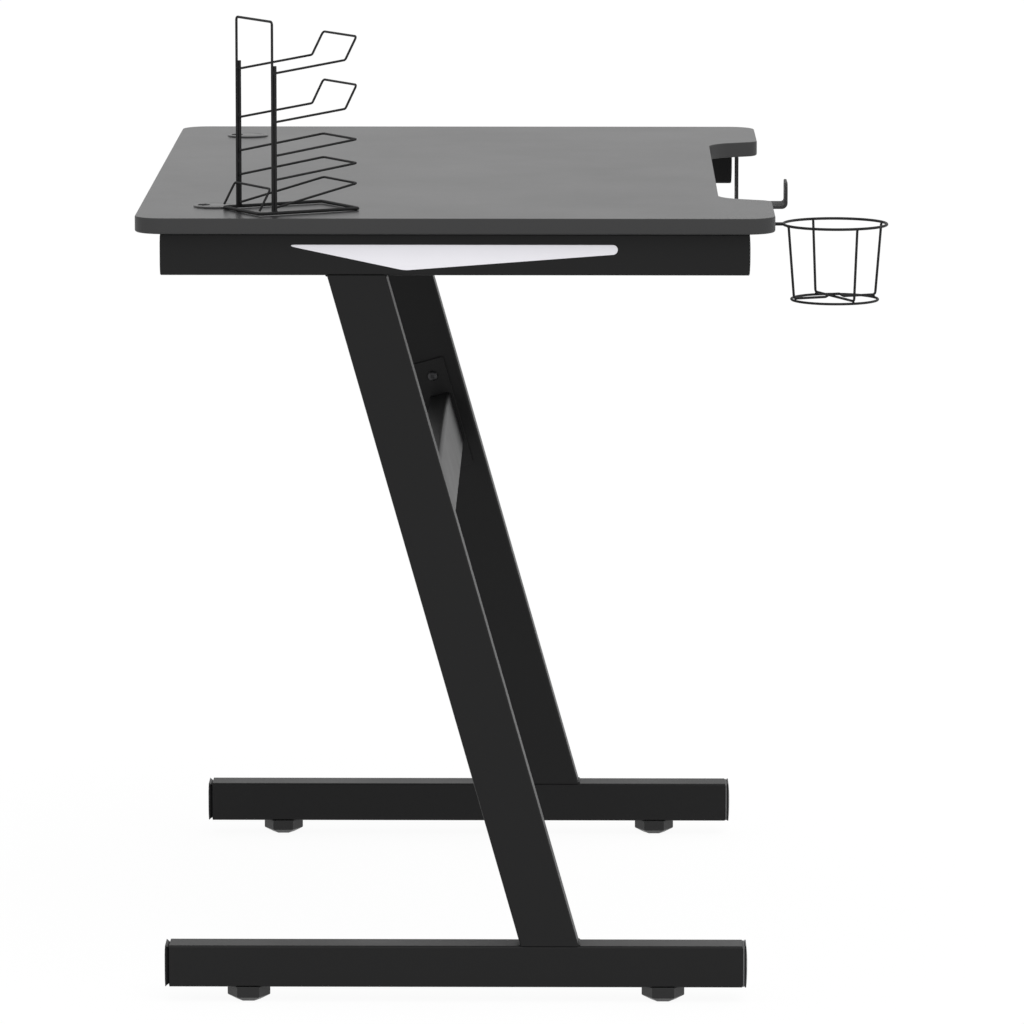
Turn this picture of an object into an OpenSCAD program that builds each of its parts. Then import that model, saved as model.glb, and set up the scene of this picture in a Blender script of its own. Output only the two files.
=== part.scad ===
// Gaming desk: a board with a front cut-out on two slanted steel legs, with lit beam
// panels, a cup holder, a headphone hook and a loose wire rack for controllers.
// Lengths are in millimetres. X runs along the desk, +Y points away from the user and
// Z is up from the floor. Left and right are the user's own.

/* [Work surface] */
// Length of the board, left to right
board_l = 900; // [760:10:1400]
// Depth of the board, front to back
board_d = 600; // [540:10:800]
// Thickness of the board
board_t = 15; // [14:1:30]
// Height of the work surface above the floor
desk_h = 750; // [680:5:850]
// Radius of the board's corners in plan
board_corner_r = 27; // [5:1:40]
// Width of each front lobe at the front edge
lobe_front_w = 163; // [155:1:200]
// Width of each front lobe at the back of the cut-out
lobe_back_w = 188; // [160:1:240]
// Depth of the front cut-out
cut_depth = 50; // [30:1:70]
// Radius where a lobe's inner side meets the front edge
cut_outer_r = 16; // [4:1:20]
// Share of a lobe's inner side that the rounding of the cut-out's inner corner takes
cut_inner_share = 0.4; // [0.1:0.02:0.5]

/* [Legs] */
// Width of every leg tube, along the desk
tube_w = 35; // [30:1:50]
// Height of the beam and foot tubes
tube_h = 40; // [36:1:60]
// Wall of every leg tube
tube_wall = 1.5; // [1:0.1:2.5]
// Outer corner radius of every leg tube
tube_r = 2.5; // [1:0.1:4]
// Distance from the board's end to the leg's outer face
leg_inset = 14; // [5:1:40]
// Distance from the board's front and back edges to the beam's caps
beam_inset = 23; // [10:1:40]
// Length of a foot with its caps
foot_l = 554; // [450:2:700]
// Depth of the slanted column, square to its length
column_depth = 53.3; // [40:0.1:70]
// How far the column leans back between foot and beam
column_run = 181.4; // [0:0.1:260]
// Distance of the column's middle behind the board's middle
column_mid_y = 1.5; // [-40:0.5:40]
// Thickness of a beam cap's head
beam_cap_t = 2; // [1.5:0.1:5]
// Thickness of the rim of a foot cap, on its tube
foot_cap_rim = 1.8; // [1:0.1:3]
// Width of the groove between that rim and the cap's plate
foot_cap_groove = 1.6; // [1:0.1:2.5]
// Depth of that groove
foot_cap_groove_depth = 2.4; // [1.5:0.1:4]
// Thickness of the plate of a foot cap, at its crown
foot_cap_plate = 1.9; // [1.5:0.1:4]
// How far a cap's head is crowned
cap_crown = 1.2; // [0.5:0.1:1.4]
// Length of a cap's plug inside the tube
plug_l = 14; // [8:1:25]
// Wall of a cap's plug
plug_wall = 2; // [1.5:0.1:3]

/* [Levelling feet] */
// Height of the hexagonal glide
glide_h = 15; // [10:1:25]
// Width of the glide across its corners
glide_across = 41; // [30:1:44]
// Width of the glide's sole across its corners
glide_sole = 21.6; // [15:0.2:28]
// Height of the slope round the glide's sole
glide_slope_h = 4.8; // [3:0.1:6]
// Distance from the foot's end to the glide's axis
glide_inset = 80; // [45:1:140]
// Diameter of the glide's threaded stud
stud_d = 8; // [6:1:10]
// Length of the stud above the glide
stud_l = 25; // [20:1:30]
// Travel of the glide out of its nut
glide_travel = 10; // [5:1:12]
// Width of the welded stud nut across its flats
stud_nut_af = 13; // [12.5:0.5:16]
// Height of the welded stud nut
stud_nut_h = 6.5; // [4:0.5:8]

/* [Lit panels] */
// Length of the panel's outline between its front end and its sharp back apex
panel_l = 314.1; // [200:0.1:380]
// Height of the panel's outline
panel_h = 24.2; // [16:0.1:26]
// Height of the panel's blunt front end
panel_end_h = 9; // [5:0.1:12]
// Distance of the panel's middle behind the board's middle
panel_mid_y = 4.6; // [-30:0.1:30]
// Distance from the beam's top to the panel's top edge
panel_drop = 11; // [6:0.5:12]
// Radius of the panel's sharp back tip
panel_tip_r = 1.5; // [0.5:0.1:2]
// Radius of the panel's blunt lower corner
panel_apex_r = 30; // [5:1:60]
// How far the panel stands proud of the beam
panel_proud = 0.6; // [0.2:0.1:2]
// Margin of the panel's flange inside the beam
panel_flange = 3; // [1:0.5:4]
// Thickness of the panel's flange
panel_flange_t = 1.5; // [1:0.1:2.5]
// Width of the light strip
strip_w = 8; // [5:1:12]
// Thickness of the light strip
strip_t = 0.6; // [0.3:0.1:1]
// Side of a light chip
chip_w = 5; // [3:0.5:5]
// Height of a light chip
chip_t = 1.6; // [1:0.1:2]
// Distance between light chips
chip_pitch = 33; // [15:1:60]
// Diameter of the hole in the lead grommet
lead_d = 5; // [3:0.5:6]

/* [Crossbar] */
// Height of the crossbar's middle above the floor
crossbar_z = 445.2; // [300:0.1:560]
// Height of the crossbar channel along its slant
crossbar_h = 57; // [40:1:70]
// Depth of the crossbar's flanges
crossbar_flange = 21; // [12:1:24]
// Sheet thickness of the crossbar
crossbar_t = 2; // [1.5:0.1:3]
// Outside radius of the crossbar's bends
crossbar_r = 4; // [3.5:0.5:6]
// Distance of the web's face in front of the column's middle
crossbar_front = 9.8; // [5:0.1:13]
// Reach of the end plates above the crossbar
end_plate_above = 37.6; // [24:0.1:60]
// Reach of the end plates below the crossbar
end_plate_below = 23.4; // [23:0.1:50]
// Width of the end plates
end_plate_w = 31.8; // [26:0.1:38]
// Thickness of the end plates
end_plate_t = 3; // [2:0.1:5]
// Distance of the end plates' middle behind the column's middle
end_plate_back = 2.8; // [0:0.1:6]
// Distance from a bolt's axis to the end of its plate
bolt_edge = 17; // [10:0.5:17]
// Diameter of the bolts and the beam screws
bolt_d = 6; // [4:1:7]

/* [Cup holder] */
// Distance from the board's left end to the cup's middle
cup_end = 130; // [115:1:140]
// Gap between the board's front edge and the cup ring
cup_gap = 9; // [4:1:30]
// Outside diameter of the top ring
cup_d = 101; // [80:1:110]
// Wire of the top ring and its prongs
cup_ring_wire = 2.6; // [2:0.1:4]
// Wire of the cradle and the base ring
cup_wire = 2.4; // [2:0.1:4]
// Depth from the top ring to the base ring
cup_depth = 71.8; // [50:0.1:100]
// Outside diameter of the base ring
cup_base_d = 84.6; // [60:0.2:86]
// Angle of the cradle wires about the cup's axis, in degrees
cradle_angle = 23.5; // [0:0.5:45]

/* [Headphone hook] */
// Distance from the board's right end to the hook's middle
hook_end = 97; // [80:1:120]
// Width of the hook's strip
hook_w = 52; // [30:1:60]
// Thickness of the hook's strip
hook_t = 3; // [2:0.1:4]
// Distance from the board's front edge back to the drop's face
hook_setback = 18.2; // [10:0.1:25]
// Drop of the hook below the board
hook_drop = 59; // [40:1:90]
// Reach of the hook from the drop's face to the lip's face
hook_reach = 51.2; // [30:0.1:80]
// Height of the lip
hook_lip_h = 26.8; // [15:0.1:35]
// Length of the flange under the board
hook_flange = 37; // [30:1:50]
// Inside radius of the hook's bends
hook_bend_r = 3; // [1:0.5:5]
// Radius of the lip's top corners
hook_lip_r = 8; // [2:0.5:10]

/* [Cable grommets] */
// Distance from the board's end to a grommet's axis
grommet_end = 106; // [90:1:120]
// Distance from the board's back edge to a grommet's axis
grommet_back = 72; // [50:1:90]
// Diameter of the hole in the board
grommet_hole_d = 38; // [34:1:44]
// Outside diameter of the liner's rim
grommet_rim_d = 42; // [40:1:46]
// Height of the rim above the board
grommet_rim_t = 1.6; // [1:0.1:3]

/* [Wire rack] */
// Distance from the board's left end to the middle of the rack's uprights
rack_end = 58.5; // [50:0.5:60]
// Distance from the board's back edge to the middle of the rack's uprights
rack_back = 111.4; // [108:0.1:130]
// Angle of the rack on the board, in degrees
rack_angle = 30; // [20:1:35]
// Distance between the two uprights
rack_w = 72; // [66:1:76]
// Height of the tall back frame
rack_h = 181; // [170:1:260]
// Height of the front posts
rack_post_h = 139.6; // [138:0.1:160]
// Wire of the back frame
rack_frame_wire = 2.4; // [2:0.1:3]
// Wire of the posts and the base
rack_post_wire = 3.2; // [2.5:0.1:4]
// Wire of the tiers, the headset loops and the brace
rack_loop_wire = 2.2; // [1.8:0.1:3]
// Reach of the tiers and the base in front of the uprights
rack_reach = 91; // [70:1:100]
// Reach of the base behind the uprights
rack_heel = 14; // [8:1:16]

/* [Hidden] */

// Overrun of every cut through a face
cut = 1;
// Gap between a loose or welded wire and what it stands on or touches
wire_gap = 0.1;
// Gap under a round piece that rests on another body
rest_gap = 0.3;
// Radial gap of a thread or an insert in its hole
thread_gap = 0.05;
// Radial gap of a bolt in a plain hole
bolt_gap = 0.3;
// Gap between a cap's plug and the inside of its tube
plug_gap = 0.3;
// How far a bend's wire lies inside the straight wires that it joins
bend_lap = 0.02;
// Extra turn of a bend into each straight wire, in degrees
bend_lap_angle = 3;
// Chords in each rounded corner of an outline
corner_steps = 8;
// Facets of a round hole or bar
round_fn = 48;
// Facets of a wire, of a large ring and of a crown's wide curve
wire_fn = 32;
ring_fn = 96;
crown_fn = 480;

// Steel paint, board, plastic, brass and light colours
steel_black = [0.16, 0.16, 0.17];
board_grey = [0.42, 0.42, 0.43];
plastic_black = [0.2, 0.2, 0.21];
wire_black = [0.14, 0.14, 0.15];
zinc = [0.6, 0.6, 0.62];
brass = [0.75, 0.62, 0.32];
light_white = [0.89, 0.89, 0.92];
strip_white = [0.95, 0.95, 0.9];

// Middle of the whole footprint: the cup ring reaches further forward than the board
cup_front = board_d / 2 + cup_gap + cup_d;
origin_y = (cup_front - board_d / 2) / 2;

// Levels of the frame
board_z = desk_h - board_t;
beam_z = board_z - tube_h;
foot_z = glide_h;
column_foot_z = foot_z + tube_h;
column_h = beam_z - column_foot_z;
column_mid_z = column_foot_z + column_h / 2;
lean = atan(column_run / column_h);

// Places along the desk
leg_x = board_l / 2 - leg_inset - tube_w / 2;
leg_inner_x = leg_x - tube_w / 2;
beam_l = board_d - 2 * beam_inset;

// Radius of the cut-out's inner corners, from a lobe's inner side
lobe_side = [lobe_back_w - lobe_front_w, cut_depth];
cut_inner_r = cut_inner_share * norm(lobe_side) / tan(atan2(lobe_side.y, lobe_side.x) / 2);

// Thickness of a foot cap's whole head
foot_cap_t = foot_cap_rim + foot_cap_groove + foot_cap_plate;

// Corner radius of the end plates
end_plate_r = 2.5;

// Screws from each beam up into the board
beam_screw_shares = [-0.41, 0, 0.41];
screw_head_d = 2 * bolt_d;
screw_head_h = 2 * bolt_d / 3;
insert_wall = 1.5;
insert_skin = 4;
insert_h = board_t - insert_skin;
access_gap = 1;

// The panel's outline, as shares of its length and height from its front bottom corner
panel_shares = [[0, 1], [0, 1 - panel_end_h / panel_h], [0.635, 0], [1, 1]];
panel_z = board_z - panel_drop - panel_h;
strip_inset = 12;

// The lead grommet lies in the beam's inner wall, in front of the panel
lead_wall = 1.5;
lead_lip = 2;
lead_y = -panel_l / 2 + panel_mid_y - 4 * lead_d;
lead_z = board_z - tube_h / 2;

// Small screws of the accessories
wood_screw_d = 4;
wood_screw_l = 10;
wood_head_d = 8;
wood_head_h = 2.2;

// The cup holder's fixing plate and the spread of its prongs and screws
cup_plate_w = 44;
cup_plate_l = 28;
cup_plate_t = 2.5;
cup_plate_setback = 10;
cup_prong_spread = 6;
cup_screw_spread = 28;
cup_plate_r = 3;
cup_x = cup_end - board_l / 2;
cup_y = -board_d / 2 - cup_gap - cup_d / 2;
cup_ring_z = board_z - cup_plate_t - cup_ring_wire / 2;
cup_ring_r = (cup_d - cup_ring_wire) / 2;
cup_base_r = (cup_base_d - cup_wire) / 2;
cup_base_z = cup_ring_z - cup_depth;
cradle_z = cup_base_z + cup_wire + wire_gap;
cradle_top_z = cup_ring_z - cup_ring_wire / 2 - cup_wire / 4 - wire_gap;
cradle_top_r = cup_ring_r - cup_wire / 4;
cradle_base_r = cup_base_r + 2 * cup_wire / 3;
cradle_bend_r = 3;

// The hook's screws
hook_x = board_l / 2 - hook_end;
hook_screw_spread = 28;
hook_edge_r = 1;

// The grommet's liner and lid
grommet_wall = 2;
grommet_ledge = 2;
grommet_gap = 0.1;
lid_t = 2.2;
lid_skirt_h = 3;
lid_skirt_wall = 1.5;
lid_notch_r = 6.5;
lid_r = grommet_hole_d / 2 - grommet_wall - grommet_gap;
grommet_bore_r = grommet_hole_d / 2 - grommet_wall - grommet_ledge;
lid_notch_at = lid_r - 0.85 * lid_notch_r;

// The rack, in its own frame: X along its width, -Y out along its arms
rack_x = rack_end - board_l / 2;
rack_y = board_d / 2 - rack_back;
rack_half = rack_w / 2;
rack_post_y = -(rack_frame_wire + rack_post_wire) / 2 - wire_gap;
rack_loop_half = rack_half - (rack_post_wire + rack_loop_wire) / 2 - wire_gap;
rack_bend_r = 3;
rack_frame_z = rack_post_wire + wire_gap;
// How far the base lies outside the uprights
rack_base_out = 1;
// Heights of a tier at its uprights and at its tip, as shares of the rack's height
rack_tier_low_shares = [0.031, 0.139];
rack_tier_middle_shares = [0.177, 0.244];
rack_tier_high_shares = [0.302, 0.368];
// Heights of a headset loop at its uprights, at its bend and at its tip, as such shares
rack_loop_low_shares = [0.477, 0.53, 0.652];
rack_loop_high_shares = [0.73, 0.784, 0.904];
// Place of that bend along the loop's reach
rack_bend_share = 0.867;
// Height of the brace where it meets the uprights
rack_brace_z = 24.7;

function unit(v) = v / norm(v);
function turned(v, angle) = [v.x * cos(angle) - v.y * sin(angle), v.x * sin(angle) + v.y * cos(angle)];

// One corner of an outline, rounded with chords
function corner(p, q, r, radius) =
    let(u = unit(p - q), v = unit(r - q), half = acos(u * v) / 2,
        centre = q + unit(u + v) * radius / sin(half),
        spoke = q + u * radius / tan(half) - centre,
        sweep = sign(cross(v, u)) * (180 - 2 * half))
    [for (i = [0:corner_steps]) centre + turned(spoke, sweep * i / corner_steps)];

// An outline whose corners have the radii given, or stay sharp where that is zero
function rounded(points, radii) =
    let(n = len(points))
    [for (i = [0:n - 1]) each radii[i] == 0 ? [points[i]]
        : corner(points[(i + n - 1) % n], points[i], points[(i + 1) % n], radii[i])];

// Angle by which a wire turns at q on its way from p to r
function turn(p, q, r) = acos(max(-1, min(1, unit(q - p) * unit(r - q))));

module place_axes(x_axis, y_axis, z_axis, at) {
    multmatrix([[x_axis.x, y_axis.x, z_axis.x, at.x],
                [x_axis.y, y_axis.y, z_axis.y, at.y],
                [x_axis.z, y_axis.z, z_axis.z, at.z],
                [0, 0, 0, 1]]) children();
}

// A straight bar from p to q
module bar(p, q, d) {
    along = unit(q - p);
    side = unit(cross(abs(along.z) < 0.9 ? [0, 0, 1] : [1, 0, 0], along));
    place_axes(side, cross(along, side), along, p) cylinder(h = norm(q - p), d = d, $fn = wire_fn);
}

// The bend at q of a wire that runs from p to r
module bend(p, q, r, bend_r, d) {
    arrive = unit(q - p);
    leave = unit(r - q);
    angle = turn(p, q, r);
    inward = unit(leave - (arrive * leave) * arrive);
    centre = q - arrive * bend_r * tan(angle / 2) + inward * bend_r;
    place_axes(-inward, arrive, cross(arrive, inward), centre)
        rotate([0, 0, -bend_lap_angle])
            rotate_extrude(angle = angle + 2 * bend_lap_angle, $fn = ring_fn)
                translate([bend_r, 0]) circle(d = d - 2 * bend_lap, $fn = wire_fn);
}

// A bent wire through the points given
module wire(points, d, bend_r) {
    last = len(points) - 1;
    cuts = [for (i = [0:last]) i == 0 || i == last ? 0
        : bend_r * tan(turn(points[i - 1], points[i], points[i + 1]) / 2)];
    for (i = [0:last - 1]) {
        along = unit(points[i + 1] - points[i]);
        bar(points[i] + along * cuts[i], points[i + 1] - along * cuts[i + 1], d);
    }
    for (i = [1:1:last - 1]) bend(points[i - 1], points[i], points[i + 1], bend_r, d);
}

// A rectangle about the origin with round corners
module rounded_rect(w, h, r) {
    square([w - 2 * r, h], center = true);
    square([w, h - 2 * r], center = true);
    for (x = [-1, 1], y = [-1, 1])
        translate([x * (w / 2 - r), y * (h / 2 - r)]) circle(r = r, $fn = wire_fn);
}

// A rectangular tube along Z, about the origin
module tube(w, h, length) {
    linear_extrude(length, center = true) difference() {
        rounded_rect(w, h, tube_r);
        square([w - 2 * tube_wall, h - 2 * tube_wall], center = true);
    }
}

// Everything is drawn about the board's middle and moved onto the footprint's middle
module stand() {
    translate([0, origin_y, 0]) children();
}

// What is drawn for the left leg, at its own side of the desk
module on_side(side) {
    if (side < 0) children();
    if (side > 0) mirror([1, 0, 0]) children();
}

module hex_nut(af, h, bore) {
    difference() {
        cylinder(h = h, d = af / cos(30), $fn = 6);
        translate([0, 0, -cut]) cylinder(h = h + 2 * cut, d = bore + 2 * thread_gap, $fn = round_fn);
    }
}

// A screw or bolt with a round head, its shank up along Z from the head's seat
module round_head_screw(d, length, head_d, head_h) {
    cylinder(h = length, d = d, $fn = round_fn);
    translate([0, 0, -head_h]) cylinder(h = head_h, d = head_d, $fn = round_fn);
}

// Places of the screws from the left beam up into the board, at the board's underside
module at_left_screws() {
    for (share = beam_screw_shares)
        translate([-leg_x, share * beam_l, board_z]) children();
}

module at_grommet(side) {
    translate([side * (board_l / 2 - grommet_end), board_d / 2 - grommet_back, desk_h]) children();
}

module at_cup_screws() {
    for (side = [-1, 1])
        translate([cup_x + side * cup_screw_spread / 2,
                   -board_d / 2 + cup_plate_setback + cup_plate_l / 2, board_z]) children();
}

module at_hook_screws() {
    for (side = [-1, 1])
        translate([hook_x + side * hook_screw_spread / 2,
                   -board_d / 2 + hook_setback + hook_flange / 2 + hook_t, board_z]) children();
}

board_outline = rounded([
    [-board_l / 2, board_d / 2],
    [-board_l / 2, -board_d / 2],
    [-board_l / 2 + lobe_front_w, -board_d / 2],
    [-board_l / 2 + lobe_back_w, -board_d / 2 + cut_depth],
    [board_l / 2 - lobe_back_w, -board_d / 2 + cut_depth],
    [board_l / 2 - lobe_front_w, -board_d / 2],
    [board_l / 2, -board_d / 2],
    [board_l / 2, board_d / 2]
], [board_corner_r, board_corner_r, cut_outer_r, cut_inner_r, cut_inner_r, cut_outer_r,
    board_corner_r, board_corner_r]);

module desktop() {
    stand() color(board_grey) difference() {
        translate([0, 0, board_z]) linear_extrude(board_t) polygon(board_outline);
        for (side = [-1, 1]) {
            at_grommet(side) translate([0, 0, -board_t - cut])
                cylinder(h = board_t + 2 * cut, d = grommet_hole_d, $fn = round_fn);
            on_side(side) at_left_screws() translate([0, 0, -cut])
                cylinder(h = insert_h + cut, d = bolt_d + 2 * insert_wall + 2 * thread_gap, $fn = round_fn);
        }
        at_cup_screws() wood_pilot();
        at_hook_screws() wood_pilot();
    }
}

module wood_pilot() {
    translate([0, 0, -cut])
        cylinder(h = wood_screw_l + cut, d = wood_screw_d + 2 * thread_gap, $fn = round_fn);
}

// The lit panel's outline in Y and Z
panel_outline = rounded(
    [for (share = panel_shares)
        [(share.x - 0.5) * panel_l + panel_mid_y, panel_z + share.y * panel_h]],
    [panel_end_h / 2, panel_end_h / 2, panel_apex_r, panel_tip_r]);

// A slab of an outline in Y and Z, from x on along X
module side_slab(x, thickness, outline) {
    translate([x, 0, 0]) rotate([90, 0, 90]) linear_extrude(thickness) polygon(outline);
}

module beam_tube() {
    difference() {
        translate([-leg_x, 0, board_z - tube_h / 2]) rotate([90, 0, 0])
            tube(tube_w, tube_h, beam_l - 2 * beam_cap_t);
        side_slab(-leg_x - tube_w / 2 - cut, tube_wall + 2 * cut, panel_outline);
        at_left_screws() {
            translate([0, 0, -tube_wall - cut])
                cylinder(h = tube_wall + 2 * cut, d = bolt_d + 2 * bolt_gap, $fn = round_fn);
            translate([0, 0, -tube_h - cut])
                cylinder(h = tube_wall + 2 * cut, d = screw_head_d + 2 * access_gap, $fn = round_fn);
        }
        translate([-leg_inner_x - tube_wall - cut, lead_y, lead_z]) rotate([0, 90, 0])
            cylinder(h = tube_wall + 2 * cut, d = lead_d + 2 * lead_wall, $fn = round_fn);
    }
}

module left_beam() { stand() color(steel_black) beam_tube(); }
module right_beam() { stand() color(steel_black) on_side(1) beam_tube(); }

// Frame on the left column's middle line, Z up its slant and Y square to it
module on_column(z) {
    translate([-leg_x, column_mid_y + (z - column_mid_z) * tan(lean), z]) rotate([-lean, 0, 0])
        children();
}

// Heights of the end plate's ends and of its bolts along the slant, from the crossbar's middle
end_plate_top = crossbar_h / 2 + end_plate_above;
end_plate_bottom = -crossbar_h / 2 - end_plate_below;

module at_column_bolts() {
    for (along = [end_plate_bottom + bolt_edge, end_plate_top - bolt_edge])
        on_column(crossbar_z) translate([leg_x - leg_inner_x, end_plate_back, along])
            rotate([0, -90, 0]) children();
}

module column_tube() {
    difference() {
        intersection() {
            on_column(column_mid_z) tube(tube_w, column_depth, column_h / cos(lean) + column_depth);
            translate([-leg_x, column_mid_y, column_mid_z])
                cube([2 * tube_w, 2 * (column_run + column_depth), column_h], center = true);
        }
        at_column_bolts() translate([0, 0, -cut])
            cylinder(h = tube_wall + 2 * cut, d = bolt_d + 2 * bolt_gap, $fn = round_fn);
    }
}

module left_column() { stand() color(steel_black) column_tube(); }
module right_column() { stand() color(steel_black) on_side(1) column_tube(); }

module at_left_glide(end) {
    translate([-leg_x, end * (foot_l / 2 - glide_inset), 0]) children();
}

module foot_tube() {
    difference() {
        translate([-leg_x, 0, foot_z + tube_h / 2]) rotate([90, 0, 0])
            tube(tube_w, tube_h, foot_l - 2 * foot_cap_t);
        for (end = [-1, 1]) at_left_glide(end) translate([0, 0, foot_z - cut])
            cylinder(h = tube_wall + 2 * cut, d = stud_d + 2 * bolt_gap, $fn = round_fn);
    }
}

module left_foot() { stand() color(steel_black) foot_tube(); }
module right_foot() { stand() color(steel_black) on_side(1) foot_tube(); }

// Radius of a crown that is cap_crown high over a chord
function crown_r(chord) = (chord * chord / 4 + cap_crown * cap_crown) / (2 * cap_crown);

// A plastic cap that closes a tube along Z: its head starts at zero, its plug reaches down,
// and a groove of the width given parts the head's plate from its rim on the tube
module tube_cap(head_t, groove_w) {
    wide_r = crown_r(tube_w);
    high_r = crown_r(tube_h);
    neck = [tube_w, tube_h] - 2 * foot_cap_groove_depth * [1, 1];
    difference() {
        intersection() {
            linear_extrude(head_t) rounded_rect(tube_w, tube_h, tube_r);
            translate([0, 0, head_t - wide_r]) rotate([90, 0, 0])
                cylinder(h = 2 * tube_h, r = wide_r, center = true, $fn = crown_fn);
            translate([0, 0, head_t - high_r]) rotate([0, 90, 0])
                cylinder(h = 2 * tube_w, r = high_r, center = true, $fn = crown_fn);
        }
        if (groove_w > 0) translate([0, 0, foot_cap_rim]) linear_extrude(groove_w) difference() {
            square([tube_w, tube_h] + 2 * cut * [1, 1], center = true);
            square(neck, center = true);
        }
    }
    plug = [tube_w, tube_h] - 2 * (tube_wall + plug_gap) * [1, 1];
    translate([0, 0, -plug_l]) linear_extrude(plug_l) difference() {
        square(plug, center = true);
        square(plug - 2 * plug_wall * [1, 1], center = true);
    }
}

// A cap on the left leg at the front (-1) or back (1) end of a tube
module left_cap(end, length, z, head_t, groove_w) {
    translate([-leg_x, end * (length / 2 - head_t), z]) rotate([-end * 90, 0, 0])
        tube_cap(head_t, groove_w);
}

module beam_cap(side, end) {
    stand() color(plastic_black) on_side(side)
        left_cap(end, beam_l, board_z - tube_h / 2, beam_cap_t, 0);
}

module foot_cap(side, end) {
    stand() color(plastic_black) on_side(side)
        left_cap(end, foot_l, foot_z + tube_h / 2, foot_cap_t, foot_cap_groove);
}

module left_beam_front_cap() { beam_cap(-1, -1); }
module left_beam_back_cap() { beam_cap(-1, 1); }
module right_beam_front_cap() { beam_cap(1, -1); }
module right_beam_back_cap() { beam_cap(1, 1); }
module left_foot_front_cap() { foot_cap(-1, -1); }
module left_foot_back_cap() { foot_cap(-1, 1); }
module right_foot_front_cap() { foot_cap(1, -1); }
module right_foot_back_cap() { foot_cap(1, 1); }

// A hexagonal glide that narrows to its sole, with flats to the sides, and its stud
module glide(side, end) {
    flat = glide_across * cos(30) / 2;
    sole = glide_sole * cos(30) / 2;
    stand() color(plastic_black) on_side(side) at_left_glide(end) {
        intersection_for(turn_deg = [0, 60, 120]) rotate([90, 0, turn_deg])
            linear_extrude(glide_across, center = true)
                polygon([[-sole, 0], [sole, 0], [flat, glide_slope_h], [flat, glide_h],
                         [-flat, glide_h], [-flat, glide_slope_h]]);
        cylinder(h = glide_h + stud_l, d = stud_d, $fn = round_fn);
    }
}

module glide_front_left() { glide(-1, -1); }
module glide_back_left() { glide(-1, 1); }
module glide_front_right() { glide(1, -1); }
module glide_back_right() { glide(1, 1); }

module glide_nuts() {
    stand() color(zinc) for (side = [-1, 1], end = [-1, 1])
        on_side(side) at_left_glide(end) translate([0, 0, foot_z + tube_wall])
            hex_nut(stud_nut_af, stud_nut_h, stud_d);
}

// The lens fills the beam's window, and its flange lies behind the beam's wall
module light_panel() {
    inside = -leg_x - tube_w / 2 + tube_wall;
    side_slab(inside - tube_wall - panel_proud, tube_wall + panel_proud, panel_outline);
    translate([inside + panel_flange_t / 2, panel_mid_y, panel_z + panel_h / 2])
        cube([panel_flange_t, panel_l + 2 * panel_flange, panel_h + 2 * panel_flange], center = true);
}

module left_light_panel() { stand() color(light_white) light_panel(); }
module right_light_panel() { stand() color(light_white) on_side(1) light_panel(); }

// A light strip on the beam's inner wall, its chips facing the panel
module light_strip() {
    wall_x = -leg_inner_x - tube_wall;
    strip_l = panel_l - 2 * strip_inset;
    chips = floor((strip_l - chip_w) / chip_pitch / 2);
    translate([wall_x - strip_t / 2, panel_mid_y, board_z - tube_h / 2])
        cube([strip_t, strip_l, strip_w], center = true);
    for (i = [-chips:chips])
        translate([wall_x - strip_t - chip_t / 2, panel_mid_y + i * chip_pitch, board_z - tube_h / 2])
            cube([chip_t, chip_w, chip_w], center = true);
}

module left_light_strip() { stand() color(strip_white) light_strip(); }
module right_light_strip() { stand() color(strip_white) on_side(1) light_strip(); }

// A rubber grommet for the lights' lead, with a lip on each side of the beam's wall
module lead_grommet() {
    hub_r = lead_d / 2 + lead_wall;
    translate([-leg_inner_x - tube_wall / 2, lead_y, lead_z]) rotate([0, 90, 0]) difference() {
        union() {
            cylinder(h = tube_wall, r = hub_r - thread_gap, center = true, $fn = round_fn);
            for (face = [-1, 1]) translate([0, 0, face * (tube_wall + lead_wall) / 2])
                cylinder(h = lead_wall, r = hub_r + lead_lip, center = true, $fn = round_fn);
        }
        cylinder(h = 4 * (tube_wall + lead_wall), d = lead_d, center = true, $fn = round_fn);
    }
}

module left_lead_grommet() { stand() color(plastic_black) lead_grommet(); }
module right_lead_grommet() { stand() color(plastic_black) on_side(1) lead_grommet(); }

module beam_screws() {
    stand() color(zinc) for (side = [-1, 1])
        on_side(side) at_left_screws() translate([0, 0, -tube_wall])
            round_head_screw(bolt_d, tube_wall + insert_h - cut, screw_head_d, screw_head_h);
}

module board_inserts() {
    stand() color(brass) for (side = [-1, 1])
        on_side(side) at_left_screws() difference() {
            cylinder(h = insert_h, d = bolt_d + 2 * insert_wall, $fn = round_fn);
            translate([0, 0, -cut])
                cylinder(h = insert_h + 2 * cut, d = bolt_d + 2 * thread_gap, $fn = round_fn);
        }
}

// The channel's section: Y square to the slant, Z along it, open to the back
crossbar_inner_r = crossbar_r - crossbar_t;
crossbar_outline = rounded([
    [0, -crossbar_h / 2],
    [crossbar_flange, -crossbar_h / 2],
    [crossbar_flange, -crossbar_h / 2 + crossbar_t],
    [crossbar_t, -crossbar_h / 2 + crossbar_t],
    [crossbar_t, crossbar_h / 2 - crossbar_t],
    [crossbar_flange, crossbar_h / 2 - crossbar_t],
    [crossbar_flange, crossbar_h / 2],
    [0, crossbar_h / 2]
], [crossbar_r, 0, 0, crossbar_inner_r, crossbar_inner_r, 0, 0, crossbar_r]);

module crossbar() {
    half_l = leg_inner_x - end_plate_t;
    stand() color(steel_black) on_column(crossbar_z) translate([leg_x - half_l, -crossbar_front, 0])
        side_slab(0, 2 * half_l, crossbar_outline);
}

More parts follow.
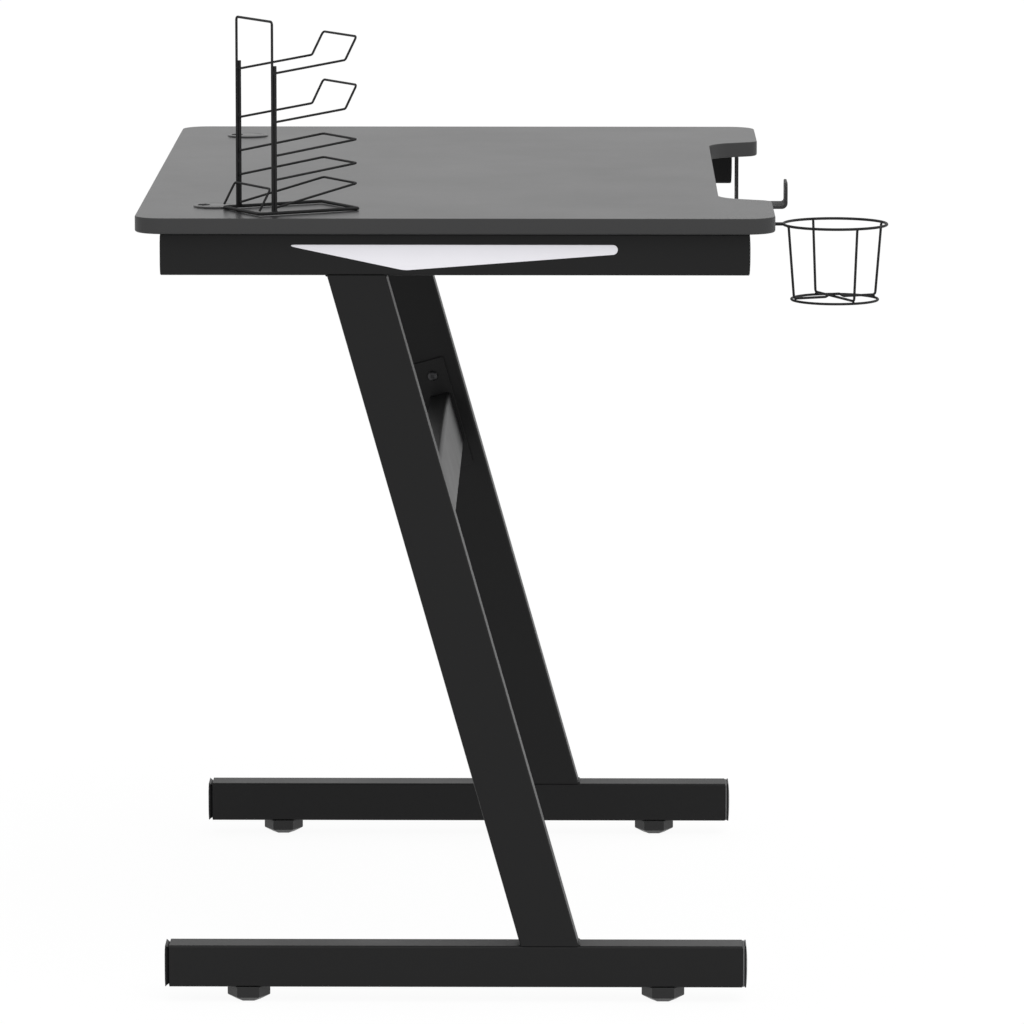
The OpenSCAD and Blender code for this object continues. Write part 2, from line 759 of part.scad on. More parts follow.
module end_plate() {
    difference() {
        on_column(crossbar_z)
            translate([leg_x - leg_inner_x, end_plate_back, (end_plate_top + end_plate_bottom) / 2])
                rotate([0, 90, 0]) linear_extrude(end_plate_t)
                    rounded_rect(end_plate_top - end_plate_bottom, end_plate_w, end_plate_r);
        at_column_bolts() translate([0, 0, -end_plate_t - cut])
            cylinder(h = end_plate_t + 2 * cut, d = bolt_d + 2 * bolt_gap, $fn = round_fn);
    }
}

module left_end_plate() { stand() color(steel_black) end_plate(); }
module right_end_plate() { stand() color(steel_black) on_side(1) end_plate(); }

// Bolts through the end plates into nuts welded inside the columns
module crossbar_bolts() {
    bolt_l = end_plate_t + tube_wall + 1.2 * bolt_d;
    stand() color(zinc) for (side = [-1, 1])
        on_side(side) at_column_bolts() translate([0, 0, -end_plate_t])
            round_head_screw(bolt_d, bolt_l, 1.75 * bolt_d, 0.55 * bolt_d);
}

module crossbar_nuts() {
    stand() color(zinc) for (side = [-1, 1])
        on_side(side) at_column_bolts() translate([0, 0, tube_wall])
            hex_nut(5 * bolt_d / 3, 5 * bolt_d / 6, bolt_d);
}

module cup_ring(r, z, d) {
    translate([cup_x, cup_y, z]) rotate_extrude($fn = ring_fn)
        translate([r, 0]) circle(d = d, $fn = wire_fn);
}

// The top ring and its two prongs, which run back under the fixing plate
module cup_holder_ring() {
    prong_start = cup_y + sqrt(cup_ring_r * cup_ring_r - cup_prong_spread * cup_prong_spread / 4);
    prong_end = -board_d / 2 + cup_plate_setback + cup_plate_l;
    stand() color(wire_black) {
        cup_ring(cup_ring_r, cup_ring_z, cup_ring_wire);
        for (side = [-1, 1]) {
            prong_x = cup_x + side * cup_prong_spread / 2;
            bar([prong_x, prong_start, cup_ring_z], [prong_x, prong_end, cup_ring_z], cup_ring_wire);
        }
    }
}

module cup_holder_base_ring() {
    stand() color(wire_black) cup_ring(cup_base_r, cup_base_z, cup_wire);
}

// A wire that hangs from the top ring and crosses under the cup, here along Y
module cradle(turn_deg, middle) {
    half = concat([[0, cradle_top_r, cradle_top_z], [0, cradle_base_r, cradle_z]], middle);
    other = [for (i = [len(half) - 1:-1:0]) [half[i].x, -half[i].y, half[i].z]];
    stand() color(wire_black) translate([cup_x, cup_y, 0]) rotate([0, 0, turn_deg])
        wire(concat(half, other), cup_wire, cradle_bend_r);
}

module cup_holder_cradle_low() {
    cradle(cradle_angle - 90, []);
}

// The second wire steps up over the first one where they cross
module cup_holder_cradle_high() {
    step_z = cradle_z + cup_wire + wire_gap;
    cradle(cradle_angle, [[0, 4 * cup_wire, cradle_z], [0, 2 * cup_wire, step_z]]);
}

module cup_holder_plate() {
    stand() color(wire_black) difference() {
        translate([cup_x, -board_d / 2 + cup_plate_setback + cup_plate_l / 2, board_z - cup_plate_t])
            linear_extrude(cup_plate_t) rounded_rect(cup_plate_w, cup_plate_l, cup_plate_r);
        at_cup_screws() translate([0, 0, -cup_plate_t - cut])
            cylinder(h = cup_plate_t + 2 * cut, d = wood_screw_d + 2 * bolt_gap, $fn = round_fn);
    }
}

module cup_holder_screws() {
    stand() color(zinc) at_cup_screws() translate([0, 0, -cup_plate_t])
        round_head_screw(wood_screw_d, cup_plate_t + wood_screw_l - cut, wood_head_d, wood_head_h);
}

// The hook's side view in Y and Z, from its flange down the drop and round to the lip
hook_face = -board_d / 2 + hook_setback;
hook_bottom = board_z - hook_drop;
hook_tip = hook_face - hook_reach;
hook_top = hook_bottom + hook_lip_h;
hook_outer_r = hook_bend_r + hook_t;
hook_outline = rounded([
    [hook_face + hook_t + hook_flange, board_z],
    [hook_face, board_z],
    [hook_face, hook_bottom + hook_t],
    [hook_tip + hook_t, hook_bottom + hook_t],
    [hook_tip + hook_t, hook_top],
    [hook_tip, hook_top],
    [hook_tip, hook_bottom],
    [hook_face + hook_t, hook_bottom],
    [hook_face + hook_t, board_z - hook_t],
    [hook_face + hook_t + hook_flange, board_z - hook_t]
], [0, hook_outer_r, hook_bend_r, hook_bend_r, hook_edge_r, hook_edge_r, hook_outer_r,
    hook_outer_r, hook_bend_r, 0]);

module headphone_hook() {
    stand() color(wire_black) difference() {
        side_slab(hook_x - hook_w / 2, hook_w, hook_outline);
        for (side = [-1, 1])
            translate([hook_x + side * (hook_w / 2 - hook_lip_r), hook_tip + hook_t / 2,
                       hook_top - hook_lip_r]) rotate([90, 0, 0])
                linear_extrude(2 * hook_t, center = true) difference() {
                    translate([side > 0 ? 0 : -hook_lip_r - cut, 0]) square(hook_lip_r + cut);
                    circle(r = hook_lip_r, $fn = round_fn);
                }
        at_hook_screws() translate([0, 0, -hook_t - cut])
            cylinder(h = hook_t + 2 * cut, d = wood_screw_d + 2 * bolt_gap, $fn = round_fn);
    }
}

module headphone_hook_screws() {
    stand() color(zinc) at_hook_screws() translate([0, 0, -hook_t])
        round_head_screw(wood_screw_d, hook_t + wood_screw_l - cut, wood_head_d, wood_head_h);
}

// A liner with a rim on the board and a ledge that carries the lid
module grommet_liner(side) {
    stand() color(plastic_black) at_grommet(side) difference() {
        union() {
            cylinder(h = grommet_rim_t, d = grommet_rim_d, $fn = round_fn);
            translate([0, 0, -board_t])
                cylinder(h = board_t, d = grommet_hole_d - 2 * thread_gap, $fn = round_fn);
        }
        translate([0, 0, grommet_rim_t - lid_t])
            cylinder(h = lid_t + cut, r = lid_r + grommet_gap, $fn = round_fn);
        translate([0, 0, -board_t - cut])
            cylinder(h = board_t + lid_t, r = grommet_bore_r, $fn = round_fn);
    }
}

// A round lid with a skirt in the liner's bore and a notch for cables at the back
module grommet_lid(side) {
    skirt_r = grommet_bore_r - grommet_gap;
    stand() color(plastic_black) at_grommet(side) translate([0, 0, grommet_rim_t - lid_t])
        difference() {
            union() {
                cylinder(h = lid_t, r = lid_r, $fn = round_fn);
                translate([0, 0, -lid_skirt_h]) cylinder(h = lid_skirt_h, r = skirt_r, $fn = round_fn);
            }
            translate([0, 0, -lid_skirt_h - cut])
                cylinder(h = lid_skirt_h + cut, r = skirt_r - lid_skirt_wall, $fn = round_fn);
            translate([0, lid_notch_at, -lid_skirt_h - cut])
                cylinder(h = lid_skirt_h + lid_t + 2 * cut, r = lid_notch_r, $fn = round_fn);
        }
}

module left_grommet_liner() { grommet_liner(-1); }
module right_grommet_liner() { grommet_liner(1); }
module left_grommet_lid() { grommet_lid(-1); }
module right_grommet_lid() { grommet_lid(1); }

// The rack's own frame, standing on the board
module on_rack() {
    stand() color(wire_black) translate([rack_x, rack_y, desk_h + rest_gap])
        rotate([0, 0, rack_angle]) children();
}

module rack_back_frame() {
    on_rack() wire([[-rack_half, 0, rack_frame_z], [-rack_half, 0, rack_h],
                    [rack_half, 0, rack_h], [rack_half, 0, rack_frame_z]],
                   rack_frame_wire, rack_bend_r);
}

module rack_post(side) {
    on_rack() bar([side * rack_half, rack_post_y, rack_frame_z],
                  [side * rack_half, rack_post_y, rack_post_h], rack_post_wire);
}

module rack_left_post() { rack_post(-1); }
module rack_right_post() { rack_post(1); }

// The base lies flat on the board, its ends meeting in the middle of the heel
module rack_base() {
    z = rack_post_wire / 2;
    half = rack_half + rack_base_out;
    on_rack() wire([[0, rack_heel, z], [-half, rack_heel, z], [-half, -rack_reach, z],
                    [half, -rack_reach, z], [half, rack_heel, z], [0, rack_heel, z]],
                   rack_post_wire, rack_bend_r);
}

// The brace leans from the heel of the base onto the back of the uprights
module rack_brace() {
    heel_z = rack_post_wire + rack_loop_wire / 2;
    top_y = (rack_frame_wire + rack_loop_wire) / 2 + wire_gap;
    on_rack() wire([[-rack_half, rack_heel, heel_z], [-rack_half, top_y, rack_brace_z],
                    [rack_half, top_y, rack_brace_z], [rack_half, rack_heel, heel_z]],
                   rack_loop_wire, rack_bend_r);
}

// A flat loop from the posts out to its tip, between the posts
module rack_tier(shares) {
    z = shares * rack_h;
    on_rack() wire([[-rack_loop_half, -rack_loop_wire / 2, z[0]], [-rack_loop_half, -rack_reach, z[1]],
                    [rack_loop_half, -rack_reach, z[1]], [rack_loop_half, -rack_loop_wire / 2, z[0]]],
                   rack_loop_wire, rack_bend_r);
}

// A loop whose end turns up to hold a headset
module rack_headset_loop(shares) {
    z = shares * rack_h;
    bend_y = -rack_reach * rack_bend_share;
    on_rack() wire([[-rack_loop_half, -rack_loop_wire / 2, z[0]],
                    [-rack_loop_half, bend_y, z[1]],
                    [-rack_loop_half, -rack_reach, z[2]], [rack_loop_half, -rack_reach, z[2]],
                    [rack_loop_half, bend_y, z[1]],
                    [rack_loop_half, -rack_loop_wire / 2, z[0]]],
                   rack_loop_wire, rack_bend_r);
}

module rack_tier_low() { rack_tier(rack_tier_low_shares); }
module rack_tier_middle() { rack_tier(rack_tier_middle_shares); }
module rack_tier_high() { rack_tier(rack_tier_high_shares); }
module rack_headset_loop_low() { rack_headset_loop(rack_loop_low_shares); }
module rack_headset_loop_high() { rack_headset_loop(rack_loop_high_shares); }

desktop();
left_beam();
right_beam();
left_column();
right_column();
left_foot();
right_foot();
left_beam_front_cap();
left_beam_back_cap();
right_beam_front_cap();
right_beam_back_cap();
left_foot_front_cap();
left_foot_back_cap();
right_foot_front_cap();
right_foot_back_cap();
glide_front_left();
glide_back_left();
glide_front_right();
glide_back_right();
glide_nuts();
left_light_panel();
right_light_panel();
left_light_strip();
right_light_strip();
left_lead_grommet();
right_lead_grommet();
beam_screws();
board_inserts();
crossbar();
left_end_plate();
right_end_plate();
crossbar_bolts();
crossbar_nuts();
cup_holder_ring();
cup_holder_base_ring();
cup_holder_cradle_low();
cup_holder_cradle_high();
cup_holder_plate();
cup_holder_screws();
headphone_hook();
headphone_hook_screws();
left_grommet_liner();
right_grommet_liner();
left_grommet_lid();
right_grommet_lid();
rack_back_frame();
rack_left_post();
rack_right_post();
rack_base();
rack_brace();
rack_tier_low();
rack_tier_middle();
rack_tier_high();
rack_headset_loop_low();
rack_headset_loop_high();
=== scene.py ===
# Gaming desk: the finish of every surface and the small detail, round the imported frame.
import math

import bmesh
import bpy
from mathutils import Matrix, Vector


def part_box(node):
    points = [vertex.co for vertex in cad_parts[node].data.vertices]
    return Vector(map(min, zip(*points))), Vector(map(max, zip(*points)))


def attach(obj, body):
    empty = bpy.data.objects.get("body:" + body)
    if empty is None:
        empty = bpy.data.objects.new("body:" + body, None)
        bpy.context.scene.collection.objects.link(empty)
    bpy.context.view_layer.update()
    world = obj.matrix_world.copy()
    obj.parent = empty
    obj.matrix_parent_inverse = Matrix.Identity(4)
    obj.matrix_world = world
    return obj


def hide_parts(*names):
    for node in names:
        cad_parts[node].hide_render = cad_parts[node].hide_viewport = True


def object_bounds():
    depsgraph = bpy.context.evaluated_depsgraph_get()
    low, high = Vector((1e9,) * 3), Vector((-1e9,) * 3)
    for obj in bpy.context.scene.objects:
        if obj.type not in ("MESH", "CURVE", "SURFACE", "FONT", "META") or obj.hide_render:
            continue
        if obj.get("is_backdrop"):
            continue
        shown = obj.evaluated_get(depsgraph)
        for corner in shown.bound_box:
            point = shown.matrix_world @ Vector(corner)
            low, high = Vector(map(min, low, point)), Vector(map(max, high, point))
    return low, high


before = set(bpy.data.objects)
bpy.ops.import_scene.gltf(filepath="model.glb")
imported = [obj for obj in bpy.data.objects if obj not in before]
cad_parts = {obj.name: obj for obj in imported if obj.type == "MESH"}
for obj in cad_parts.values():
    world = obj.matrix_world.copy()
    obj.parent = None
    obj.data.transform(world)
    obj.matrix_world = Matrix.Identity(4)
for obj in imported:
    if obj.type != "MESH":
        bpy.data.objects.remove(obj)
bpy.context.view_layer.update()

# Side frames
# Each leg is rolled steel tube, mitred, welded and powder coated black. The coat levels out
# with a faint orange peel, and its gloss is a little uneven where hands have been.


def shader_node(tree, kind, values=None, **settings):
    """Adds a shader node, sets it up, and gives each input a value or a link."""
    made = tree.nodes.new("ShaderNode" + kind)
    for setting, value in settings.items():
        setattr(made, setting, value)
    for socket, value in (values or {}).items():
        if isinstance(value, bpy.types.NodeSocket):
            tree.links.new(value, made.inputs[socket])
        else:
            made.inputs[socket].default_value = value
    return made


def remap(tree, value, old, new):
    """Carries a value from one range to another, and holds it inside the new one."""
    ends = {"From Min": old[0], "From Max": old[1], "To Min": new[0], "To Max": new[1]}
    return shader_node(tree, "MapRange", {"Value": value, **ends}).outputs["Result"]


def new_group(name, inputs, outputs):
    """An empty node group with float inputs, and its entry and exit nodes."""
    group = bpy.data.node_groups.new(name, "ShaderNodeTree")
    for label in inputs:
        group.interface.new_socket(label, in_out="INPUT", socket_type="NodeSocketFloat")
    for label, kind in outputs.items():
        group.interface.new_socket(label, in_out="OUTPUT", socket_type=kind)
    return group, group.nodes.new("NodeGroupInput"), group.nodes.new("NodeGroupOutput")


def surface_grain_group():
    """Fine grain as a normal, and a gloss that drifts slowly over the surface."""
    group, given, result = new_group(
        "surface_grain",
        ["Cells Per Metre", "Depth", "Roughness", "Unevenness"],
        {"Roughness": "NodeSocketFloat", "Normal": "NodeSocketVector"},
    )
    place = shader_node(group, "TexCoord").outputs["Object"]
    grain = shader_node(
        group, "TexNoise",
        {"Vector": place, "Scale": given.outputs["Cells Per Metre"], "Detail": 2.0, "Roughness": 0.55},
    )
    bump = shader_node(
        group, "Bump",
        {"Strength": 1.0, "Distance": given.outputs["Depth"], "Height": grain.outputs["Fac"]},
    )
    drift = shader_node(
        group, "TexNoise", {"Vector": place, "Scale": 7.0, "Detail": 5.0, "Roughness": 0.6}
    )
    off_mean = shader_node(
        group, "Math", {0: drift.outputs["Fac"], 1: 0.5}, operation="SUBTRACT"
    )
    rough = shader_node(
        group, "Math",
        {0: off_mean.outputs[0], 1: given.outputs["Unevenness"], 2: given.outputs["Roughness"]},
        operation="MULTIPLY_ADD",
    )
    group.links.new(rough.outputs[0], result.inputs["Roughness"])
    group.links.new(bump.outputs["Normal"], result.inputs["Normal"])
    return group


def edge_rub_group():
    """A mask that is strong on arrises, where a coat thins and handling polishes it."""
    group, given, result = new_group("edge_rub", ["Radius"], {"Mask": "NodeSocketFloat"})
    rounded = shader_node(group, "Bevel", {"Radius": given.outputs["Radius"]}, samples=4)
    face = shader_node(group, "NewGeometry")
    agree = shader_node(
        group, "VectorMath", {0: rounded.outputs["Normal"], 1: face.outputs["True Normal"]},
        operation="DOT_PRODUCT",
    )
    arris = remap(group, agree.outputs["Value"], (0.97, 0.72), (0.0, 1.0))
    place = shader_node(group, "TexCoord").outputs["Object"]
    patches = shader_node(group, "TexNoise", {"Vector": place, "Scale": 45.0, "Detail": 4.0})
    worn = remap(group, patches.outputs["Fac"], (0.35, 0.75), (0.1, 1.0))
    mask = shader_node(group, "Math", {0: arris, 1: worn}, operation="MULTIPLY")
    group.links.new(mask.outputs[0], result.inputs["Mask"])
    return group


surface_grain = surface_grain_group()
edge_rub = edge_rub_group()


def new_material(name, values):
    """A material whose Principled shader has these values on its own sockets."""
    material = bpy.data.materials.new(name)
    material.use_nodes = True
    shader = material.node_tree.nodes["Principled BSDF"]
    for socket, value in values.items():
        shader.inputs[socket].default_value = value
    return material, material.node_tree, shader


def grain_node(tree, cells, depth, roughness, unevenness):
    """The surface grain with one finish's values."""
    return shader_node(
        tree, "Group",
        {"Cells Per Metre": cells, "Depth": depth, "Roughness": roughness, "Unevenness": unevenness},
        node_tree=surface_grain,
    )


def plain_finish(
    name, colour, rubbed, cells, depth, roughness, unevenness, specular, rub_radius, metallic=0.0
):
    """A coat, plastic or metal with fine grain, drifting gloss and rubbed arrises."""
    material, tree, shader = new_material(name, {"Specular IOR Level": specular, "Metallic": metallic})
    rub = shader_node(tree, "Group", {"Radius": rub_radius}, node_tree=edge_rub)
    tone = shader_node(
        tree, "Mix", {"Factor": rub.outputs["Mask"], 6: (*colour, 1), 7: (*rubbed, 1)}, data_type="RGBA"
    )
    grain = grain_node(tree, cells, depth, roughness, unevenness)
    tree.links.new(tone.outputs[2], shader.inputs["Base Color"])
    tree.links.new(grain.outputs["Roughness"], shader.inputs["Roughness"])
    tree.links.new(grain.outputs["Normal"], shader.inputs["Normal"])
    return material


def dress(material, *nodes):
    """Gives CAD nodes a material."""
    for node in nodes:
        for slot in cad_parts[node].material_slots:
            slot.material = material


powder_coat = plain_finish(
    "powder_coat", colour=(0.0088, 0.0088, 0.009), rubbed=(0.022, 0.022, 0.0225), cells=850.0,
    depth=0.000012, roughness=0.46, unevenness=0.14, specular=0.175, rub_radius=0.0009,
)
dress(powder_coat, "left_beam", "right_beam", "left_column", "right_column", "left_foot", "right_foot")


def start_piece(add, name, scale=(1, 1, 1), **place):
    """Adds a primitive with nothing else selected, names it and settles its place in its mesh."""
    bpy.ops.object.select_all(action="DESELECT")
    add(**place)
    piece = bpy.context.object
    piece.name = name
    piece.data.name = name
    piece.scale = scale
    bpy.ops.object.transform_apply(location=True, rotation=True, scale=True)
    return piece


def pick(kind, test):
    """Selects, in edit mode, the verts, edges or faces that pass a test, and nothing else."""
    bpy.ops.mesh.select_mode(type={"verts": "VERT", "edges": "EDGE", "faces": "FACE"}[kind])
    bpy.ops.mesh.select_all(action="DESELECT")
    mesh = bmesh.from_edit_mesh(bpy.context.object.data)
    for part in getattr(mesh, kind):
        if test(part):
            part.select_set(True)
    bmesh.update_edit_mesh(bpy.context.object.data)


def middle(edge):
    """The middle of an edge."""
    return (edge.verts[0].co + edge.verts[1].co) / 2


def runs_along(edge, axis):
    """True for an edge that lies along X, Y or Z, given as 0, 1 or 2."""
    step = edge.verts[1].co - edge.verts[0].co
    return abs(step[axis]) > 0.999 * step.length


def only(piece):
    """Makes one piece the whole selection."""
    bpy.ops.object.select_all(action="DESELECT")
    piece.select_set(True)
    bpy.context.view_layer.objects.active = piece


def join(name, pieces):
    """Joins pieces into one object of that name."""
    bpy.ops.object.select_all(action="DESELECT")
    for piece in pieces:
        piece.select_set(True)
    bpy.context.view_layer.objects.active = pieces[0]
    if len(pieces) > 1:
        bpy.ops.object.join()
    joined = bpy.context.object
    joined.name = name
    joined.data.name = name
    return joined


def apply_modifier(piece, kind, **settings):
    """Adds a modifier with these settings and applies it."""
    only(piece)
    modifier = piece.modifiers.new(kind.lower(), kind)
    for setting, value in settings.items():
        setattr(modifier, setting, value)
    bpy.ops.object.modifier_apply(modifier=modifier.name)


def soften(piece, radius, segments=2, angle=40):
    """Rounds every arris sharper than the angle."""
    apply_modifier(
        piece, "BEVEL", width=radius, segments=segments, limit_method="ANGLE",
        angle_limit=math.radians(angle),
    )


def finish_piece(piece, material, slot, body, *nodes):
    """Shades a piece, gives it its material, and puts it on its body; its slot is not used."""
    only(piece)
    bpy.ops.object.shade_smooth_by_angle(angle=math.radians(40))
    apply_modifier(piece, "WEIGHTED_NORMAL", keep_sharp=True)
    piece.data.materials.clear()
    piece.data.materials.append(material)
    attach(piece, body)
    if nodes:
        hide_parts(*nodes)


# Welds of the side frames
# A short fillet weld closes the front and the back of each column, against the beam above
# and the foot below. The flush seams on the sides are ground smooth before coating.
weld_r = 0.0013
ripple_pitch = 0.0017
ripple = 0.12
tube_corner_r = 0.0025
same_place = 0.00002


def weld_bead(start, end):
    """A rippled bead from start to end."""
    run = Vector(end) - Vector(start)
    bead = start_piece(
        bpy.ops.mesh.primitive_cylinder_add, "bead", vertices=10, radius=weld_r, depth=run.length,
        location=(Vector(start) + Vector(end)) / 2, rotation=run.to_track_quat("Z", "Y").to_euler(),
    )
    along = run.normalized()
    rings = 2 * round(run.length / ripple_pitch)
    bpy.ops.object.mode_set(mode="EDIT")
    pick("edges", lambda edge: abs((edge.verts[1].co - edge.verts[0].co).dot(along)) > 0.9 * run.length)
    bpy.ops.mesh.subdivide(number_cuts=rings - 1)
    bpy.ops.object.mode_set(mode="OBJECT")
    for vertex in bead.data.vertices:
        way = (vertex.co - Vector(start)).dot(along)
        axis_point = Vector(start) + along * way
        swell = 1 + ripple * math.cos(2 * math.pi * way / ripple_pitch)
        vertex.co = axis_point + (vertex.co - axis_point) * swell
    return bead


frame_beads = []
for side in ("left", "right"):
    low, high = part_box(side + "_column")
    for z in (high.z, low.z):
        edge_y = [
            vertex.co.y
            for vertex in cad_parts[side + "_column"].data.vertices
            if abs(vertex.co.z - z) < same_place
        ]
        for y in (min(edge_y), max(edge_y)):
            frame_beads.append(weld_bead((low.x + tube_corner_r, y, z), (high.x - tube_corner_r, y, z)))
finish_piece(join("frame_welds", frame_beads), powder_coat, "steel", "desk")

# Tube end caps
# Injection-moulded black caps close the beams and the feet. Each has a crowned head on a
# hollow plug that is pressed into the tube, with a fine seam. A front foot cap's plate stands
# off its tube, and a pale grey band fills the gap.
cap_black = plain_finish(
    "cap_plastic", colour=(0.0095, 0.0095, 0.0098), rubbed=(0.018, 0.018, 0.0185), cells=1600.0,
    depth=0.00001, roughness=0.42, unevenness=0.12, specular=0.15, rub_radius=0.0005,
)
plug_length = 0.014
plug_wall = 0.002
plug_inset = 0.0018
crown = 0.0012
groove_depth = 0.0024
seam_collar = 0.0002
seam_w = 0.0007
gap_band_w = 0.0026
gap_band_inset = 0.0008
groove_slope = 0.0001
cap_arris = 0.0004
# A pale grey band, far lighter than the cap, fills the gap behind each front foot cap's plate.
gap_band_grey = plain_finish(
    "gap_band", colour=(0.13, 0.13, 0.132), rubbed=(0.15, 0.15, 0.152), cells=1900.0,
    depth=0.00001, roughness=0.7, unevenness=0.1, specular=0.3, rub_radius=0.0003,
)


def end_cap(node, end, gap):
    """One cap, modelled at its place: end is -1 at the front of a tube and 1 at the back."""
    low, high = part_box(node)
    outer = low.y if end < 0 else high.y
    head = high.y - low.y - plug_length
    width, height = high.x - low.x, high.z - low.z
    axis = Vector(((low.x + high.x) / 2, 0, (low.z + high.z) / 2))

    def depth_at(depth):
        return outer - end * depth

    cap = start_piece(
        bpy.ops.mesh.primitive_cube_add, node + "_moulding", size=1,
        location=(axis.x, depth_at(head / 2), axis.z), scale=(width, head, height),
    )
    bpy.ops.object.mode_set(mode="EDIT")
    pick("edges", lambda edge: runs_along(edge, 1))
    bpy.ops.mesh.bevel(offset=tube_corner_r, segments=5, affect="EDGES")
    slope_foot = head - seam_collar - gap + groove_slope
    for depth in (head - seam_collar, slope_foot, head - seam_collar - gap):
        bpy.ops.mesh.select_all(action="SELECT")
        bpy.ops.mesh.bisect(plane_co=(0, depth_at(depth), 0), plane_no=(0, 1, 0))
    pick("verts", lambda v: abs(v.co.y - depth_at(slope_foot)) < same_place)
    bpy.ops.transform.resize(
        value=(1 - 2 * groove_depth / width, 1, 1 - 2 * groove_depth / height),
        center_override=(axis.x, 0, axis.z),
    )
    for step in (-0.75, -0.5, -0.25, 0, 0.25, 0.5, 0.75):
        for across in (Vector((width / 2, 0, 0)), Vector((0, 0, height / 2))):
            bpy.ops.mesh.select_all(action="SELECT")
            bpy.ops.mesh.bisect(plane_co=axis + across * step, plane_no=across.normalized())
    bpy.ops.object.mode_set(mode="OBJECT")
    for vertex in cap.data.vertices:
        if abs(vertex.co.y - outer) < same_place:
            reach = max(abs(vertex.co.x - axis.x) / (width / 2), abs(vertex.co.z - axis.z) / (height / 2))
            vertex.co.y = depth_at(crown * reach ** 2)
    soften(cap, cap_arris, segments=3, angle=50)

    plug = start_piece(
        bpy.ops.mesh.primitive_cube_add, "plug", size=1,
        location=(axis.x, depth_at(head + plug_length / 2), axis.z),
        scale=(width - 2 * plug_inset, plug_length, height - 2 * plug_inset),
    )
    bpy.ops.object.mode_set(mode="EDIT")
    pick("faces", lambda face: face.normal.y * end < -0.9)
    bpy.ops.mesh.inset(thickness=plug_wall)
    bpy.ops.mesh.extrude_region_move(
        TRANSFORM_OT_translate={"value": (0, end * (plug_length - plug_wall), 0)}
    )
    bpy.ops.object.mode_set(mode="OBJECT")
    return join(node + "_moulding", [cap, plug])


for side in ("left", "right"):
    for place, end in (("front", -1), ("back", 1)):
        for tube, gap in (("_beam_", seam_w), ("_foot_", gap_band_w if end < 0 else seam_w)):
            cap = side + tube + place + "_cap"
            finish_piece(end_cap(cap, end, gap), cap_black, "cap_plastic", "desk", cap)
    low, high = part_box(side + "_foot_front_cap")
    gap_y = high.y - plug_length - seam_collar
    gap_band = start_piece(
        bpy.ops.mesh.primitive_cube_add, side + "_foot_gap_band", size=1,
        location=((low.x + high.x) / 2, gap_y - gap_band_w / 2, (low.z + high.z) / 2),
        scale=(high.x - low.x - 2 * gap_band_inset, gap_band_w, high.z - low.z - 2 * gap_band_inset),
    )
    soften(gap_band, gap_band_inset)
    finish_piece(gap_band, gap_band_grey, "rubber", "desk")

# Levelling feet
# A hexagonal glide of hard black plastic is moulded on an M8 stud of zinc-plated steel. The
# stud screws into a nut that is welded inside the foot, so turning the glide levels the desk.
glide_black = plain_finish(
    "glide_plastic", colour=(0.013, 0.013, 0.0132), rubbed=(0.035, 0.035, 0.0355), cells=1300.0,
    depth=0.000014, roughness=0.4, unevenness=0.14, specular=0.28, rub_radius=0.0007,
)
zinc_plate = plain_finish(
    "zinc_plate", colour=(0.5, 0.51, 0.52), rubbed=(0.62, 0.62, 0.63), cells=2600.0,
    depth=0.000006, roughness=0.34, unevenness=0.2, specular=0.5, rub_radius=0.0003, metallic=1.0,
)
stud_r = 0.004
stud_pitch = 0.00125
thread_depth = 0.0007
sole_across = 0.0216
slope_height = 0.0048
glide_height = 0.015
glide_arris = 0.0006
stud_buried = 0.002


def threaded_stud(name, axis, z_low, z_high):
    """A rod along Z with a helical thread all the way up."""
    length = z_high - z_low
    rod = start_piece(
        bpy.ops.mesh.primitive_cylinder_add, name, vertices=20, radius=stud_r, depth=length,
        location=(axis.x, axis.y, (z_low + z_high) / 2),
    )
    bpy.ops.object.mode_set(mode="EDIT")
    pick("edges", lambda edge: runs_along(edge, 2))
    bpy.ops.mesh.subdivide(number_cuts=4 * round(length / stud_pitch) - 1)
    bpy.ops.object.mode_set(mode="OBJECT")
    for vertex in rod.data.vertices:
        spoke = Vector((vertex.co.x - axis.x, vertex.co.y - axis.y, 0))
        turns = (vertex.co.z - z_low) / stud_pitch - math.atan2(spoke.y, spoke.x) / (2 * math.pi)
        valley = abs(2 * (turns % 1) - 1)
        cut = thread_depth * (1 if vertex.co.z in (z_low, z_high) else valley)
        vertex.co -= spoke.normalized() * cut
    return rod


for side in ("left", "right"):
    for place in ("front", "back"):
        node = "glide_" + place + "_" + side
        body = place + "_" + side + "_glide"
        low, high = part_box(node)
        axis = (low + high) / 2
        glide = start_piece(
            bpy.ops.mesh.primitive_cylinder_add, node + "_moulding", vertices=6,
            radius=(high.y - low.y) / 2, depth=glide_height - slope_height,
            location=(axis.x, axis.y, (glide_height + slope_height) / 2),
        )
        bpy.ops.object.mode_set(mode="EDIT")
        pick("faces", lambda face: face.normal.z < -0.9)
        bpy.ops.mesh.extrude_region_move(TRANSFORM_OT_translate={"value": (0, 0, -slope_height)})
        narrow = sole_across / (high.y - low.y)
        bpy.ops.transform.resize(value=(narrow, narrow, 1), center_override=(axis.x, axis.y, 0))
        bpy.ops.object.mode_set(mode="OBJECT")
        soften(glide, glide_arris, segments=3, angle=20)
        finish_piece(glide, glide_black, "glide_plastic", body, node)
        stud = threaded_stud(node + "_stud", axis, glide_height - stud_buried, high.z)
        finish_piece(stud, zinc_plate, "zinc", body, node)

dress(zinc_plate, "glide_nuts")
